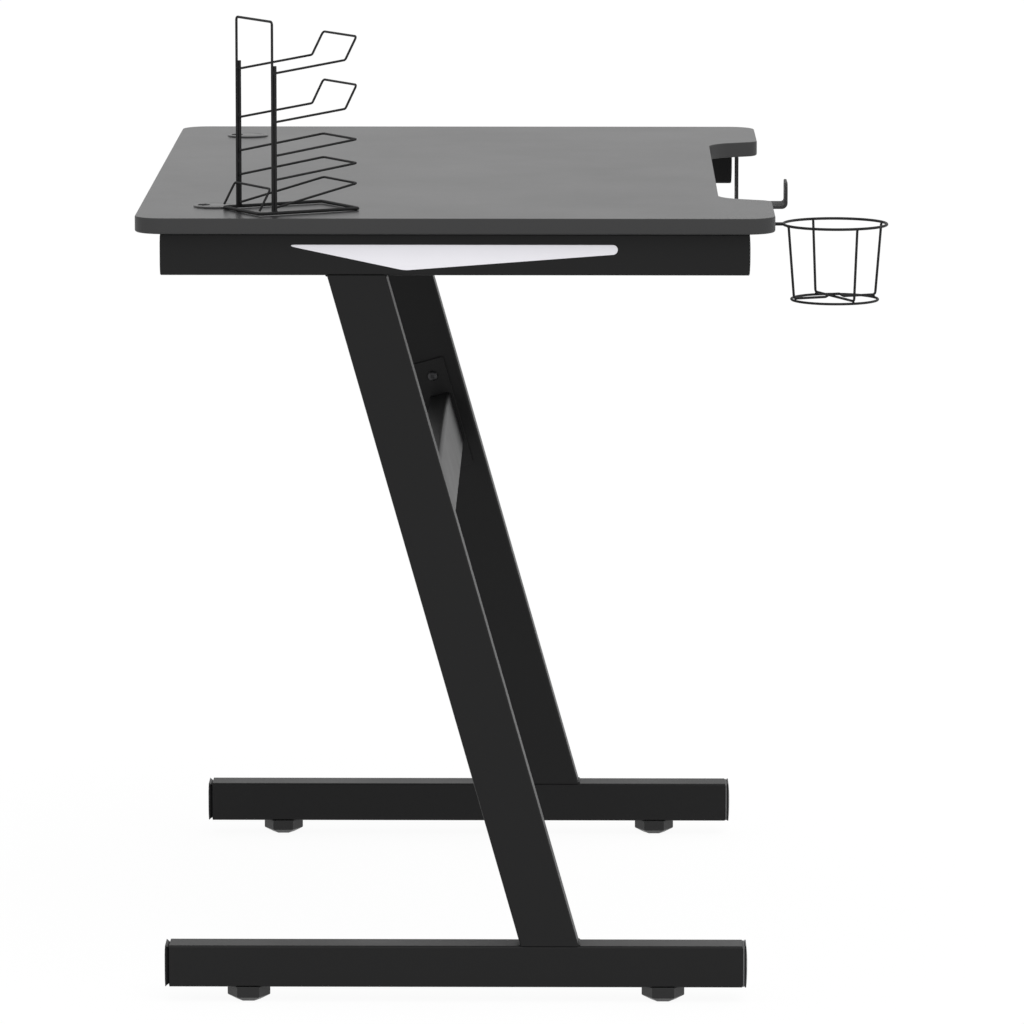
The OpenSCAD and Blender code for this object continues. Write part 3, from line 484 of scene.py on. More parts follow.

# Lit panels
# A milk-white acrylic lens fills the window in each beam, with a strip of light chips on the
# beam's inner wall behind it. The strip gives no light here: its glow is painted into the lens's
# colour, brightest in a band over the lens's deep part. The strip's lead leaves through a rubber grommet.
panel_front_h = 0.009
panel_low_share = 0.635
panel_low_r = 0.030
panel_tip_r = 0.0015
panel_flange = 0.003
panel_flange_t = 0.0015
panel_edge_r = 0.0004
flange_arris = 0.0003
# Painted glow: the lens's colour is lighter in a band over its deep part, standing in for the light of the
# strip behind it.
lens_glow_peak = (0.865, 0.855, 0.9, 1)
lens_glow_low = (0.84, 0.83, 0.872, 1)
glow_peak_share = 0.6
glow_peak_spread = 0.02


def opal_material():
    """Opal acrylic with a painted glow, lightest in a band over the lens's deep part, and faint clouding
    inside.
    """
    material, tree, shader = new_material("opal_lens", {"Specular IOR Level": 0.3, "Coat Weight": 0.15})
    place = shader_node(tree, "TexCoord").outputs["Object"]
    parts = shader_node(tree, "SeparateXYZ", {"Vector": place})
    low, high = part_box("left_light_panel")
    reach = glow_peak_share * (high.y - low.y)
    past = shader_node(tree, "Math", {0: parts.outputs["Y"], 1: low.y + reach}, operation="SUBTRACT")
    away = shader_node(tree, "Math", {0: past.outputs[0]}, operation="ABSOLUTE")
    share = remap(tree, away.outputs[0], (glow_peak_spread, reach), (0.0, 1.0))
    tone = shader_node(tree, "Mix", {"Factor": share, 6: lens_glow_peak, 7: lens_glow_low}, data_type="RGBA")
    clouds = shader_node(tree, "TexNoise", {"Vector": place, "Scale": 28.0, "Detail": 3.0})
    cloudy = remap(tree, clouds.outputs["Fac"], (0.3, 0.7), (0.985, 1.0))
    clouded = shader_node(tree, "VectorMath", {0: tone.outputs[2], "Scale": cloudy}, operation="SCALE")
    grain = grain_node(tree, cells=2200.0, depth=0.000004, roughness=0.38, unevenness=0.08)
    tree.links.new(clouded.outputs["Vector"], shader.inputs["Base Color"])
    tree.links.new(grain.outputs["Roughness"], shader.inputs["Roughness"])
    tree.links.new(grain.outputs["Normal"], shader.inputs["Normal"])
    return material


opal_lens = opal_material()


def lit_panel(side, sign):
    """A lens with its flange: sign is -1 on the left leg and 1 on the right."""
    low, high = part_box(side + "_light_panel")
    y0, y1 = low.y + panel_flange, high.y - panel_flange
    z0, z1 = low.z + panel_flange, high.z - panel_flange
    outer, inner = (low.x, high.x) if sign < 0 else (high.x, low.x)
    back = inner + sign * panel_flange_t
    lens = start_piece(
        bpy.ops.mesh.primitive_cube_add, side + "_lens", size=1,
        location=((outer + back) / 2, (y0 + y1) / 2, (z0 + z1) / 2),
        scale=(abs(outer - back), y1 - y0, z1 - z0),
    )
    corners = {
        (y0, z1): (y0, z1, panel_front_h / 2),
        (y0, z0): (y0, z1 - panel_front_h, panel_front_h / 2),
        (y1, z0): (y0 + panel_low_share * (y1 - y0), z0, panel_low_r),
        (y1, z1): (y1, z1, panel_tip_r),
    }
    for vertex in lens.data.vertices:
        nearest = min(corners, key=lambda c: abs(vertex.co.y - c[0]) + abs(vertex.co.z - c[1]))
        vertex.co.y, vertex.co.z = corners[nearest][:2]
    ring = [Vector(corner[:2]) for corner in corners.values()]
    bpy.ops.object.mode_set(mode="EDIT")
    for number, (y, z, radius) in enumerate(corners.values()):
        before = (ring[number - 1] - ring[number]).normalized()
        after = (ring[(number + 1) % 4] - ring[number]).normalized()
        half = before.angle(after) / 2
        pick("edges", lambda edge: runs_along(edge, 0)
             and abs(middle(edge).y - y) + abs(middle(edge).z - z) < same_place)
        bpy.ops.mesh.bevel(offset=radius / math.tan(half), segments=8, affect="EDGES")
    pick("faces", lambda face: face.normal.x * sign > 0.99)
    bpy.ops.mesh.region_to_loop()
    bpy.ops.mesh.bevel(offset=panel_edge_r, segments=3, affect="EDGES")
    bpy.ops.object.mode_set(mode="OBJECT")
    flange = start_piece(
        bpy.ops.mesh.primitive_cube_add, "flange", size=1,
        location=((back + inner) / 2, (low.y + high.y) / 2, (low.z + high.z) / 2),
        scale=(panel_flange_t, high.y - low.y, high.z - low.z),
    )
    soften(flange, flange_arris)
    return join(side + "_lens", [lens, flange])


for side, sign in (("left", -1), ("right", 1)):
    finish_piece(lit_panel(side, sign), opal_lens, "lens", "desk", side + "_light_panel")

solder_mask = (0.82, 0.82, 0.8, 1)
phosphor = (0.85, 0.72, 0.22, 1)
phosphor_depth = 0.00005


def light_strip_material():
    """White solder mask with yellow phosphor in the face of each chip."""
    material, tree, shader = new_material("light_strip", {"Roughness": 0.45})
    place = shader_node(tree, "TexCoord").outputs["Object"]
    parts = shader_node(tree, "SeparateXYZ", {"Vector": place})
    away = shader_node(tree, "Math", {0: parts.outputs["X"]}, operation="ABSOLUTE")
    low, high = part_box("right_light_strip")
    on_chip = shader_node(
        tree, "Math", {0: away.outputs[0], 1: high.x - phosphor_depth}, operation="GREATER_THAN"
    )
    tone = shader_node(
        tree, "Mix", {"Factor": on_chip.outputs[0], 6: solder_mask, 7: phosphor}, data_type="RGBA"
    )
    mottle = shader_node(tree, "TexNoise", {"Vector": place, "Scale": 900.0, "Detail": 2.0})
    bump = shader_node(
        tree, "Bump", {"Strength": 0.4, "Distance": 0.00004, "Height": mottle.outputs["Fac"]}
    )
    tree.links.new(tone.outputs[2], shader.inputs["Base Color"])
    tree.links.new(bump.outputs["Normal"], shader.inputs["Normal"])
    return material


dress(light_strip_material(), "left_light_strip", "right_light_strip")

rubber = plain_finish(
    "rubber", colour=(0.014, 0.014, 0.014), rubbed=(0.022, 0.022, 0.022), cells=1900.0,
    depth=0.00002, roughness=0.7, unevenness=0.1, specular=0.3, rub_radius=0.0004,
)
lead_hole_r = 0.0025
lead_hub_r = 0.00395
lead_lip_r = 0.006
lead_lip_w = 0.0015
wall_w = 0.0015
lead_bore_arris = 0.0004
lead_lip_arris = 0.0007


def turned_piece(name, section, steps=48):
    """Spins a closed section, given as radius and height, about Z."""
    piece = start_piece(bpy.ops.mesh.primitive_circle_add, name, vertices=len(section), radius=0.01)
    for vertex, (radius, height) in zip(piece.data.vertices, section):
        vertex.co = (radius, 0, height)
    bpy.ops.object.mode_set(mode="EDIT")
    bpy.ops.mesh.select_all(action="SELECT")
    bpy.ops.mesh.spin(steps=steps, angle=2 * math.pi, center=(0, 0, 0), axis=(0, 0, 1))
    bpy.ops.mesh.select_all(action="SELECT")
    bpy.ops.mesh.remove_doubles(threshold=0.000004)
    bpy.ops.mesh.delete_loose()
    bpy.ops.mesh.select_all(action="SELECT")
    bpy.ops.mesh.normals_make_consistent(inside=False)
    bpy.ops.object.mode_set(mode="OBJECT")
    return piece


def place_piece(piece, at, turn=(0, 0, 0)):
    """Turns a piece, moves it to its place and settles that in its mesh."""
    only(piece)
    piece.rotation_euler = turn
    piece.location = at
    bpy.ops.object.transform_apply(location=True, rotation=True, scale=True)
    return piece


lead_half_w = wall_w / 2 + lead_lip_w
for side in ("left", "right"):
    low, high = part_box(side + "_lead_grommet")
    half_section = [
        (lead_hub_r, wall_w / 2), (lead_lip_r, wall_w / 2), (lead_lip_r, lead_half_w - lead_lip_arris),
        (lead_lip_r - lead_lip_arris, lead_half_w), (lead_hole_r + lead_bore_arris, lead_half_w),
        (lead_hole_r, lead_half_w - lead_bore_arris),
    ]
    mirrored = [(radius, -height) for radius, height in reversed(half_section)]
    grommet = turned_piece(side + "_lead_seal", mirrored + half_section, steps=32)
    place_piece(grommet, (low + high) / 2, turn=(0, math.pi / 2, 0))
    finish_piece(grommet, rubber, "rubber", "desk", side + "_lead_grommet")

# Crossbar
# A channel of bent 2 mm sheet ties the two columns. Its coat is the frames' coat, a touch darker and
# with a much weaker reflection, as painted shade for the dark place it sits in under the board.
# Button-head bolts hold its end plates to the columns, in nuts welded inside the tubes.
# Painted shade: a darker, less reflective copy of the frame coat stands in for the shade under the board.
shaded_crossbar_coat = plain_finish(
    "shaded_crossbar_coat", colour=(0.0085, 0.0085, 0.0087), rubbed=(0.022, 0.022, 0.0225), cells=850.0,
    depth=0.000012, roughness=0.38, unevenness=0.14, specular=0.06, rub_radius=0.0009,
)
dress(shaded_crossbar_coat, "crossbar")
end_plate_arris = 0.0005
black_bolt = plain_finish(
    "black_bolt", colour=(0.03, 0.03, 0.032), rubbed=(0.16, 0.16, 0.165), cells=2400.0,
    depth=0.000006, roughness=0.36, unevenness=0.16, specular=0.5, rub_radius=0.0004, metallic=0.5,
)
dress(zinc_plate, "crossbar_nuts")


def softened_copy(node, name, radius):
    """A merged copy of a CAD node whose arrises are rounded."""
    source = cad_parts[node]
    copy = bpy.data.objects.new(name, source.data.copy())
    bpy.context.scene.collection.objects.link(copy)
    copy.data.name = name
    only(copy)
    bpy.ops.object.mode_set(mode="EDIT")
    bpy.ops.mesh.select_all(action="SELECT")
    bpy.ops.mesh.remove_doubles(threshold=0.000002)
    bpy.ops.mesh.dissolve_limited(angle_limit=math.radians(0.5))
    bpy.ops.object.mode_set(mode="OBJECT")
    soften(copy, radius, segments=2, angle=45)
    return copy


for side in ("left", "right"):
    plate = softened_copy(side + "_end_plate", side + "_flange_plate", end_plate_arris)
    finish_piece(plate, powder_coat, "steel", "desk", side + "_end_plate")

button_profile = ((1, 0.35), (0.93, 0.68), (0.78, 0.9), (0.6, 1))
pan_profile = ((1, 0.45), (0.94, 0.75), (0.8, 0.95), (0.62, 1))
point_profile = ((0, 0), (0.45, 0.15), (1, 1.6))
head_seat_arris = 0.0001
bolt_tip_arris = 0.0004
socket_share = 0.6
blade_share = 1.1
blade_depth_share = 0.65


def turned_fastener(name, tip, shank_r, head_r, head_h, profile):
    """A fastener without its drive: its seat at zero, its shank up along Z."""
    return turned_piece(name, [
        *tip, (shank_r, 0), (head_r - head_seat_arris, 0), (head_r, -2 * head_seat_arris),
        *((reach * head_r, -depth * head_h) for reach, depth in profile), (0, -head_h),
    ])


def cut_out(piece, cutter):
    """Takes a cutter's shape out of a piece and removes the cutter."""
    apply_modifier(piece, "BOOLEAN", object=cutter, operation="DIFFERENCE", solver="EXACT")
    bpy.data.objects.remove(cutter)


def socket_bolt(name, shank_r, length, head_r, head_h, socket_r):
    """A button-head bolt with a hexagonal socket."""
    tip = [(0, length), (shank_r - bolt_tip_arris, length), (shank_r, length - bolt_tip_arris)]
    bolt = turned_fastener(name, tip, shank_r, head_r, head_h, button_profile)
    cut_out(bolt, start_piece(
        bpy.ops.mesh.primitive_cylinder_add, "bit", vertices=6, radius=socket_r,
        depth=2 * socket_share * head_h, location=(0, 0, -head_h),
    ))
    return bolt


def cross_screw(name, shank_r, length, head_r, head_h, slot_w):
    """A pan-head screw with a pointed shank and a cross recess."""
    tip = [(reach * shank_r, length - back * shank_r) for reach, back in point_profile]
    screw = turned_fastener(name, tip, shank_r, head_r, head_h, pan_profile)
    blade_w = blade_share * head_r
    for width, depth in ((blade_w, slot_w), (slot_w, blade_w)):
        cut_out(screw, start_piece(
            bpy.ops.mesh.primitive_cube_add, "blade", size=1, location=(0, 0, -head_h),
            scale=(width, depth, 2 * blade_depth_share * head_h),
        ))
    return screw


def fastener_group(name, master, places):
    """Copies a fastener to each place, given as a point and a turn, and joins the copies."""
    made = []
    for at, turn in places:
        copy = master.copy()
        copy.data = master.data.copy()
        bpy.context.scene.collection.objects.link(copy)
        made.append(place_piece(copy, at, turn))
    bpy.data.objects.remove(master)
    return join(name, made)


bolt_r = 0.003
bolt_head_r = 0.00525
bolt_head_h = 0.0033
bolt_socket_r = 0.0023
low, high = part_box("crossbar_bolts")
seat_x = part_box("right_end_plate")[0].x
bolt_places = []
for sign in (-1, 1):
    for y, z in ((low.y + bolt_head_r, low.z + bolt_head_r), (high.y - bolt_head_r, high.z - bolt_head_r)):
        bolt_places.append(((sign * seat_x, y, z), (0, sign * math.pi / 2, 0)))
bolts = fastener_group(
    "crossbar_button_bolts",
    socket_bolt("bolt", bolt_r, high.x - seat_x, bolt_head_r, bolt_head_h, bolt_socket_r), bolt_places,
)
finish_piece(bolts, black_bolt, "plated", "desk", "crossbar_bolts")

# Work surface
# The board is 15 mm particle board under a grey-black laminate with a fine fleck, and its
# edge is banded in plastic with rounded arrises. Brass inserts in its underside take screws.
laminate_black = (0.03, 0.03, 0.031)
band_black = (0.049, 0.049, 0.0495, 1)
lobe_front_w = 0.163
lobe_back_w = 0.188
cut_depth = 0.050
board_corner_r = 0.027
cut_outer_r = 0.016
cut_inner_share = 0.4
top_arris = 0.0010
bottom_arris = 0.0020
insert_r = 0.0045
pilot_r = 0.00205
grommet_hole_r = 0.019
insert_play = 0.00005
pilot_spare = 0.001
wood_head_r = 0.004
drill_length = 0.05


def board_material():
    """Laminate on the faces and a finer-grained plastic band on the edge, by the mesh's own mask."""
    material, tree, shader = new_material("laminate", {"Specular IOR Level": 0.07})
    place = shader_node(tree, "TexCoord").outputs["Object"]
    banded = shader_node(tree, "Attribute", attribute_name="edge_band").outputs["Fac"]
    flecks = shader_node(
        tree, "TexNoise", {"Vector": place, "Scale": 1400.0, "Detail": 2.0, "Roughness": 0.7}
    )
    fleck_tone = remap(tree, flecks.outputs["Fac"], (0.3, 0.7), (0.85, 1.15))
    laminate = shader_node(
        tree, "VectorMath", {0: laminate_black, "Scale": fleck_tone}, operation="SCALE"
    )
    tone = shader_node(
        tree, "Mix", {"Factor": banded, 6: laminate.outputs["Vector"], 7: band_black},
        data_type="RGBA",
    )
    face = grain_node(tree, cells=1100.0, depth=0.000012, roughness=0.3, unevenness=0.06)
    band = grain_node(tree, cells=2300.0, depth=0.000006, roughness=0.42, unevenness=0.06)
    rough = shader_node(
        tree, "Mix", {"Factor": banded, 2: face.outputs["Roughness"], 3: band.outputs["Roughness"]},
        data_type="FLOAT",
    )
    normal = shader_node(
        tree, "Mix", {"Factor": banded, 4: face.outputs["Normal"], 5: band.outputs["Normal"]},
        data_type="VECTOR",
    )
    tree.links.new(tone.outputs[2], shader.inputs["Base Color"])
    tree.links.new(rough.outputs[0], shader.inputs["Roughness"])
    tree.links.new(normal.outputs[1], shader.inputs["Normal"])
    return material


low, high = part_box("desktop")
half_length = high.x
front = low.y
board = start_piece(
    bpy.ops.mesh.primitive_plane_add, "laminated_board", size=1,
    location=(0, (low.y + high.y) / 2, low.z), scale=(high.x - low.x, high.y - low.y, 1),
)
bpy.ops.object.mode_set(mode="EDIT")
bpy.ops.mesh.select_all(action="SELECT")
bpy.ops.mesh.bisect(plane_co=(0, front + cut_depth, 0), plane_no=(0, 1, 0))
for sign in (-1, 1):
    pick("faces", lambda face: face.calc_center_median().y < front + cut_depth)
    bpy.ops.mesh.bisect(
        plane_co=(sign * (half_length - lobe_front_w), front, 0),
        plane_no=(cut_depth, sign * (lobe_back_w - lobe_front_w), 0),
    )
pick("faces", lambda face: face.calc_center_median().y < front + cut_depth
     and abs(face.calc_center_median().x) < half_length - lobe_back_w)
bpy.ops.mesh.delete(type="FACE")
bpy.ops.mesh.select_all(action="SELECT")
bpy.ops.mesh.dissolve_limited(angle_limit=math.radians(1))
lobe_side = Vector((lobe_back_w - lobe_front_w, cut_depth))
outer_tangent = cut_outer_r * math.tan(math.atan2(lobe_side.y, lobe_side.x) / 2)
inner_tangent = cut_inner_share * lobe_side.length
for test, tangent in (
    (lambda v: abs(v.co.x) > half_length - same_place, board_corner_r),
    (lambda v: abs(abs(v.co.x) - half_length + lobe_front_w) < same_place, outer_tangent),
    (lambda v: abs(abs(v.co.x) - half_length + lobe_back_w) < same_place, inner_tangent),
):
    pick("verts", test)
    bpy.ops.mesh.bevel(offset=tangent, segments=10, affect="VERTICES")
bpy.ops.mesh.select_all(action="SELECT")
bpy.ops.mesh.extrude_region_move(TRANSFORM_OT_translate={"value": (0, 0, high.z - low.z)})
bpy.ops.mesh.select_all(action="SELECT")
bpy.ops.mesh.normals_make_consistent(inside=False)
for face_z, arris, steps in ((high.z, top_arris, 3), (low.z, bottom_arris, 4)):
    pick("edges", lambda edge: abs(middle(edge).z - face_z) < same_place)
    bpy.ops.mesh.bevel(offset=arris, segments=steps, affect="EDGES")
bpy.ops.object.mode_set(mode="OBJECT")
edge_band = board.data.attributes.new("edge_band", "FLOAT", "FACE")
for face in board.data.polygons:
    edge_band.data[face.index].value = 1.0 if abs(face.normal.z) < 0.9 else 0.0

drills = []
for side in ("left", "right"):
    hole_low, hole_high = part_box(side + "_grommet_liner")
    at = (hole_low + hole_high) / 2
    drills.append(start_piece(
        bpy.ops.mesh.primitive_cylinder_add, "drill", vertices=64, radius=grommet_hole_r,
        depth=drill_length, location=(at.x, at.y, low.z),
    ))
insert_low, insert_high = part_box("board_inserts")
insert_middle_y = (insert_low.y + insert_high.y) / 2
insert_spots = [
    (sign * (insert_high.x - insert_r), y)
    for sign in (-1, 1)
    for y in (insert_low.y + insert_r, insert_middle_y, insert_high.y - insert_r)
]
for x, y in insert_spots:
    drills.append(start_piece(
        bpy.ops.mesh.primitive_cylinder_add, "drill", vertices=32, radius=insert_r + insert_play,
        depth=2 * (insert_high.z - low.z), location=(x, y, low.z),
    ))
pilot_spots = []
for node in ("cup_holder_screws", "headphone_hook_screws"):
    screw_low, screw_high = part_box(node)
    for x in (screw_low.x + wood_head_r, screw_high.x - wood_head_r):
        pilot_spots.append((x, (screw_low.y + screw_high.y) / 2))
        drills.append(start_piece(
            bpy.ops.mesh.primitive_cylinder_add, "drill", vertices=24, radius=pilot_r,
            depth=2 * (screw_high.z + pilot_spare - low.z), location=(*pilot_spots[-1], low.z),
        ))
cut_out(board, join("drill", drills))
finish_piece(board, board_material(), "board", "desk", "desktop")

brass = plain_finish(
    "brass", colour=(0.62, 0.46, 0.2), rubbed=(0.7, 0.55, 0.27), cells=2200.0, depth=0.000006,
    roughness=0.32, unevenness=0.15, specular=0.5, rub_radius=0.0003, metallic=1.0,
)
dress(brass, "board_inserts")

low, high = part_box("beam_screws")
screw_head_r = 0.006
screw_head_h = 0.004
screw_socket_r = 0.0025
screw_places = [((x, y, low.z + screw_head_h), (0, 0, 0)) for x, y in insert_spots]
screws = fastener_group(
    "beam_button_screws",
    socket_bolt("screw", bolt_r, high.z - low.z - screw_head_h, screw_head_r, screw_head_h, screw_socket_r),
    screw_places,
)
finish_piece(screws, zinc_plate, "plated", "desk", "beam_screws")

# Cable grommets
# A moulded liner with a thin rim sits in each cable hole, and a notched lid drops onto the
# liner's ledge. The lid turns by hand, so that its notch can face the cables.
grommet_black = plain_finish(
    "grommet_plastic", colour=(0.034, 0.034, 0.035), rubbed=(0.05, 0.05, 0.051), cells=1500.0,
    depth=0.00001, roughness=0.34, unevenness=0.1, specular=0.2, rub_radius=0.0005,
)
rim_t = 0.0016
rim_r = 0.021
barrel_r = 0.01895
lid_r = 0.0169
lid_t = 0.0022
bore_r = 0.015
skirt_r = 0.0149
skirt_wall = 0.0015
skirt_h = 0.003
notch_r = 0.0065
notch_at = lid_r - 0.85 * notch_r
lid_play = 0.0001
lid_arris = 0.0004
lid_ring = ((0.75, 0), (0.78, 0.0003), (0.82, 0.0003), (0.85, 0))
rim_arris = 0.001
mouth_w = 0.0004
mouth_h = 0.0003
board_t = 0.015
seat_gap = 0.00004
seat = rim_t - lid_t
lid_seat = seat + seat_gap

for side in ("left", "right"):
    low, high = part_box(side + "_grommet_liner")
    at = ((low.x + high.x) / 2, (low.y + high.y) / 2, high.z - rim_t)
    liner = turned_piece(side + "_grommet_rim", [
        (rim_r, 0), (rim_r, 0.4 * rim_t), (rim_r - 0.3 * rim_arris, 0.8 * rim_t), (rim_r - rim_arris, rim_t),
        (lid_r + lid_play + mouth_w, rim_t), (lid_r + lid_play, rim_t - mouth_h), (lid_r + lid_play, seat),
        (bore_r, seat), (bore_r, -board_t), (barrel_r, -board_t), (barrel_r, 0),
    ], steps=72)
    place_piece(liner, at)
    finish_piece(liner, grommet_black, "grommet_plastic", "desk", side + "_grommet_liner")
    lid = turned_piece(side + "_grommet_cover", [
        (0, rim_t), *((share * lid_r, rim_t - depth) for share, depth in lid_ring),
        (lid_r - lid_arris, rim_t), (lid_r, rim_t - lid_arris), (lid_r, lid_seat), (skirt_r, lid_seat),
        (skirt_r, seat - skirt_h), (skirt_r - skirt_wall, seat - skirt_h),
        (skirt_r - skirt_wall, lid_seat), (0, lid_seat),
    ], steps=72)
    cut_out(lid, start_piece(
        bpy.ops.mesh.primitive_cylinder_add, "notch", vertices=48, radius=notch_r, depth=drill_length,
        location=(0, notch_at, 0),
    ))
    place_piece(lid, at)
    finish_piece(lid, grommet_black, "grommet_plastic", side + "_lid", side + "_grommet_lid")

# Cup holder
# Bent steel wire: a ring with two prongs, a base ring and a pair of cradle wires, spot
# welded where they meet. The prongs are welded under a plate that is screwed to the board.
wire_coat = plain_finish(
    "wire_coat", colour=(0.02, 0.02, 0.0204), rubbed=(0.032, 0.032, 0.0325), cells=1100.0,
    depth=0.000008, roughness=0.5, unevenness=0.12, specular=0.07, rub_radius=0.0004,
)
dress(
    wire_coat, "cup_holder_ring", "cup_holder_base_ring", "cup_holder_cradle_low",
    "cup_holder_cradle_high",
)
cup_wire_r = 0.0012
cup_spot_r = 0.00125
ring_wire_r = 0.0013
ring_spot_in = 0.0004
ring_spot_down = 0.0014
base_spot_out = 0.0002
base_spot_up = 0.0012
prong_weld_x = 0.0042
prong_weld_inset = 0.004
cup_plate_arris = 0.0004
wood_screw_r = 0.002
wood_head_h = 0.0022
wood_slot_w = 0.0009
cradle_turn = math.radians(23.5)


def weld_spot(at, radius, stretch=(1, 1, 0.8)):
    """A small smooth lump of weld metal."""
    return start_piece(
        bpy.ops.mesh.primitive_ico_sphere_add, "spot", subdivisions=2, radius=radius, location=at,
        scale=stretch,
    )


base_low, base_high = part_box("cup_holder_base_ring")
ring_low, ring_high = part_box("cup_holder_ring")
cup_axis = (base_low + base_high) / 2
ring_r = (ring_high.x - ring_low.x) / 2 - ring_wire_r
base_r = (base_high.x - base_low.x) / 2 - cup_wire_r
welded_rings = (
    (ring_r - ring_spot_in, ring_high.z - ring_wire_r - ring_spot_down),
    (base_r + base_spot_out, (base_low.z + base_high.z) / 2 + base_spot_up),
)
cup_spots = []
for quarter in range(1, 5):
    angle = cradle_turn + quarter * math.pi / 2
    spoke = Vector((math.cos(angle), math.sin(angle), 0))
    for reach, z in welded_rings:
        at = Vector((cup_axis.x, cup_axis.y, z)) + spoke * reach
        cup_spots.append(weld_spot(at, cup_spot_r))
plate_low, plate_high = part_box("cup_holder_plate")
for sign in (-1, 1):
    weld_x = cup_axis.x + sign * prong_weld_x
    cup_spots.append(weld_bead(
        (weld_x, plate_low.y + prong_weld_inset, plate_low.z),
        (weld_x, plate_high.y - prong_weld_inset, plate_low.z),
    ))
finish_piece(join("cup_holder_welds", cup_spots), wire_coat, "wire", "desk")

cup_plate = softened_copy("cup_holder_plate", "cup_holder_fixing_plate", cup_plate_arris)
finish_piece(cup_plate, wire_coat, "wire", "desk", "cup_holder_plate")


def wood_screw_group(node, name, spots):
    """The pan-head screws that hold an accessory under the board."""
    low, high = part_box(node)
    length = high.z - low.z - wood_head_h
    master = cross_screw("screw", wood_screw_r, length, wood_head_r, wood_head_h, wood_slot_w)
    group = fastener_group(name, master, [((x, y, low.z + wood_head_h), (0, 0, 0)) for x, y in spots])
    finish_piece(group, black_bolt, "plated", "desk", node)


wood_screw_group("cup_holder_screws", "cup_holder_pan_screws", pilot_spots[:2])

# Headphone hook
# One strip of 3 mm steel, bent three times: a flange under the board, a drop, a shelf for
# the headband and a lip with round corners, in a wrinkle coat. Two screws hold the flange.
wrinkle_coat = plain_finish(
    "wrinkle_coat", colour=(0.028, 0.028, 0.0285), rubbed=(0.04, 0.04, 0.0405), cells=620.0,
    depth=0.00006, roughness=0.66, unevenness=0.2, specular=0.3, rub_radius=0.0005,
)
hook_t = 0.003
hook_reach = 0.0512
hook_lip_h = 0.0268
hook_bend = 0.0045
hook_lip_corner = 0.008
hook_hole_r = 0.0023
hook_arris = 0.0005
low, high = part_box("headphone_hook")
drop_y = low.y + hook_reach + hook_t / 2
lip_y = low.y + hook_t / 2
flange_z = high.z - hook_t / 2
shelf_z = low.z + hook_t / 2
hook = start_piece(
    bpy.ops.mesh.primitive_plane_add, "bent_hook", size=1,
    location=((low.x + high.x) / 2, (drop_y + high.y) / 2, flange_z),
    scale=(high.x - low.x, high.y - drop_y, 1),
)
bpy.ops.object.mode_set(mode="EDIT")
pick("edges", lambda edge: runs_along(edge, 0) and abs(middle(edge).y - drop_y) < same_place)
for step in ((0, 0, shelf_z - flange_z), (0, lip_y - drop_y, 0), (0, 0, low.z + hook_lip_h - shelf_z)):
    bpy.ops.mesh.extrude_region_move(TRANSFORM_OT_translate={"value": step})
for y, z in ((drop_y, flange_z), (drop_y, shelf_z), (lip_y, shelf_z)):
    pick("edges", lambda edge: runs_along(edge, 0)
         and abs(middle(edge).y - y) + abs(middle(edge).z - z) < same_place)
    bpy.ops.mesh.bevel(offset=hook_bend, segments=6, affect="EDGES")
pick("verts", lambda v: abs(v.co.z - low.z - hook_lip_h) < same_place)
bpy.ops.mesh.bevel(offset=hook_lip_corner, segments=8, affect="VERTICES")
bpy.ops.object.mode_set(mode="OBJECT")
apply_modifier(hook, "SOLIDIFY", thickness=hook_t, offset=0, use_even_offset=True)
only(hook)
bpy.ops.object.mode_set(mode="EDIT")
bpy.ops.mesh.select_all(action="SELECT")
bpy.ops.mesh.normals_make_consistent(inside=False)
bpy.ops.object.mode_set(mode="OBJECT")
for x, y in pilot_spots[2:]:
    cut_out(hook, start_piece(
        bpy.ops.mesh.primitive_cylinder_add, "hole", vertices=32, radius=hook_hole_r, depth=4 * hook_t,
        location=(x, y, flange_z),
    ))
soften(hook, hook_arris, segments=2, angle=45)
finish_piece(hook, wrinkle_coat, "wire", "desk", "headphone_hook")
wood_screw_group("headphone_hook_screws", "headphone_hook_pan_screws", pilot_spots[2:])

# Wire rack
# A loose rack of bent wire for controllers and a headset: a tall back frame, two posts, a
# base with a brace, three tiers and two upturned loops, spot welded and coated in one go.
rack_nodes = [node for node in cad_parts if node.startswith("rack_")]
dress(wire_coat, *rack_nodes)
post_r = 0.0016
loop_r = 0.0011
spot_r = 0.0016
foot_spot_r = 0.0021
spot_stand_off = 0.00005
spot_lift = 0.0002
frame_spot_shares = (0.3, 0.62, 0.95)
tiers = (
    "rack_tier_low", "rack_tier_middle", "rack_tier_high", "rack_headset_loop_low",
    "rack_headset_loop_high",
)
posts = [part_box("rack_left_post"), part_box("rack_right_post")]
post_low, post_high = posts[0]
post_axes = [(a + b) / 2 for a, b in posts]
across = (post_axes[1] - post_axes[0]).normalized()
outward = Vector((across.y, -across.x, 0))
rack_spots = []
for axis, toward in zip(post_axes, (1, -1)):
    centre = Vector((axis.x, axis.y, 0))
    inner = centre + across * toward * (post_r + spot_stand_off)
    for tier in tiers:
        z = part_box(tier)[0].z + loop_r + spot_lift
        rack_spots.append(weld_spot(inner + Vector((0, 0, z)), spot_r))
    behind = centre - outward * (post_r + spot_stand_off)
    for share in frame_spot_shares:
        z = post_low.z + share * (post_high.z - post_low.z)
        rack_spots.append(weld_spot(behind + Vector((0, 0, z)), spot_r, stretch=(0.8, 0.8, 1.5)))
    rack_spots.append(weld_spot(centre + Vector((0, 0, post_low.z)), foot_spot_r))
finish_piece(join("rack_welds", rack_spots), wire_coat, "wire", "rack")

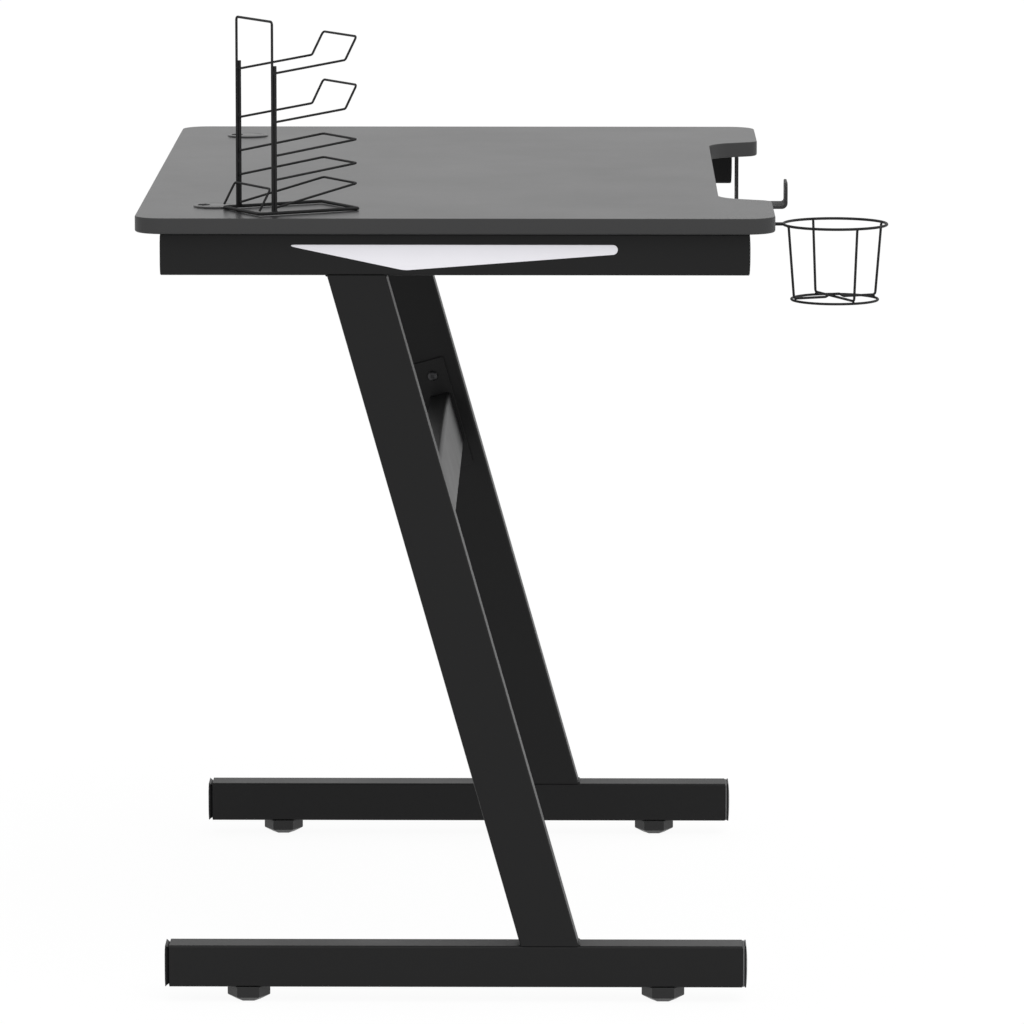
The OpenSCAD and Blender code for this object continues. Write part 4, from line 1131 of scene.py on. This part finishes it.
# Studio
# A white floor and soft even light, with the camera where the photograph was taken: beyond
# the desk's left end, a little above it and far back, on a long lens.
floor_size = 80
floor_grey = (0.8, 0.8, 0.8, 1)
floor_white = 1.02
floor_white_share = 0.92
fill_strength = 0.9
key_strength = 0.9
key_spread = math.radians(50)
key_direction = Vector((0.55, 0.35, -1))
floor = start_piece(bpy.ops.mesh.primitive_plane_add, "studio_floor", size=floor_size)
floor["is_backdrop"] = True


def background_rays(tree):
    """1 where the camera sees the background, straight, mirrored or through glass, and 0 elsewhere."""
    rays = shader_node(tree, "LightPath")
    seen = shader_node(
        tree, "Math", {0: rays.outputs["Is Camera Ray"], 1: rays.outputs["Is Glossy Ray"]},
        operation="MAXIMUM",
    )
    seen_too = shader_node(
        tree, "Math", {0: seen.outputs[0], 1: rays.outputs["Is Transmission Ray"]}, operation="MAXIMUM"
    )
    return seen_too.outputs[0]


def floor_material():
    """White to the camera and to gloss, with a little of the shaded floor left in it."""
    material = bpy.data.materials.new("studio_floor")
    material.use_nodes = True
    tree = material.node_tree
    tree.nodes.remove(tree.nodes["Principled BSDF"])
    shade = shader_node(tree, "BsdfDiffuse", {"Color": floor_grey})
    white = shader_node(tree, "Emission", {"Color": (1, 1, 1, 1), "Strength": floor_white})
    share = shader_node(tree, "Math", {0: background_rays(tree), 1: floor_white_share}, operation="MULTIPLY")
    mixed = shader_node(
        tree, "MixShader", {"Fac": share.outputs[0], 1: shade.outputs[0], 2: white.outputs[0]}
    )
    tree.links.new(mixed.outputs[0], tree.nodes["Material Output"].inputs["Surface"])
    return material


floor.data.materials.append(floor_material())


def studio_world():
    """White where it is seen or mirrored, and a plain fill for everything else."""
    world = bpy.data.worlds.new("studio")
    world.use_nodes = True
    tree = world.node_tree
    background = tree.nodes["Background"]
    background.inputs["Color"].default_value = (1, 1, 1, 1)
    strength = remap(tree, background_rays(tree), (0.0, 1.0), (fill_strength, 1.0))
    tree.links.new(strength, background.inputs["Strength"])
    return world


bpy.context.scene.world = studio_world()

key = bpy.data.objects.new("key_light", bpy.data.lights.new("key_light", "SUN"))
key.data.energy = key_strength
key.data.angle = key_spread
key.rotation_euler = key_direction.to_track_quat("-Z", "Y").to_euler()
bpy.context.scene.collection.objects.link(key)

camera_at = Vector((-7.2558, -0.0591, 1.4893))
camera_aim = Vector((1, 0.00888, -0.14925))
camera_lens_mm = 257.9
camera = bpy.data.objects.new("camera", bpy.data.cameras.new("camera"))
camera.location = camera_at
camera.rotation_euler = camera_aim.to_track_quat("-Z", "Y").to_euler()
camera.data.lens = camera_lens_mm
camera.data.sensor_width = 36
camera.data.clip_end = 200
bpy.context.scene.collection.objects.link(camera)
bpy.context.scene.camera = camera
bpy.context.scene.view_settings.view_transform = "Standard"

low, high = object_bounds()
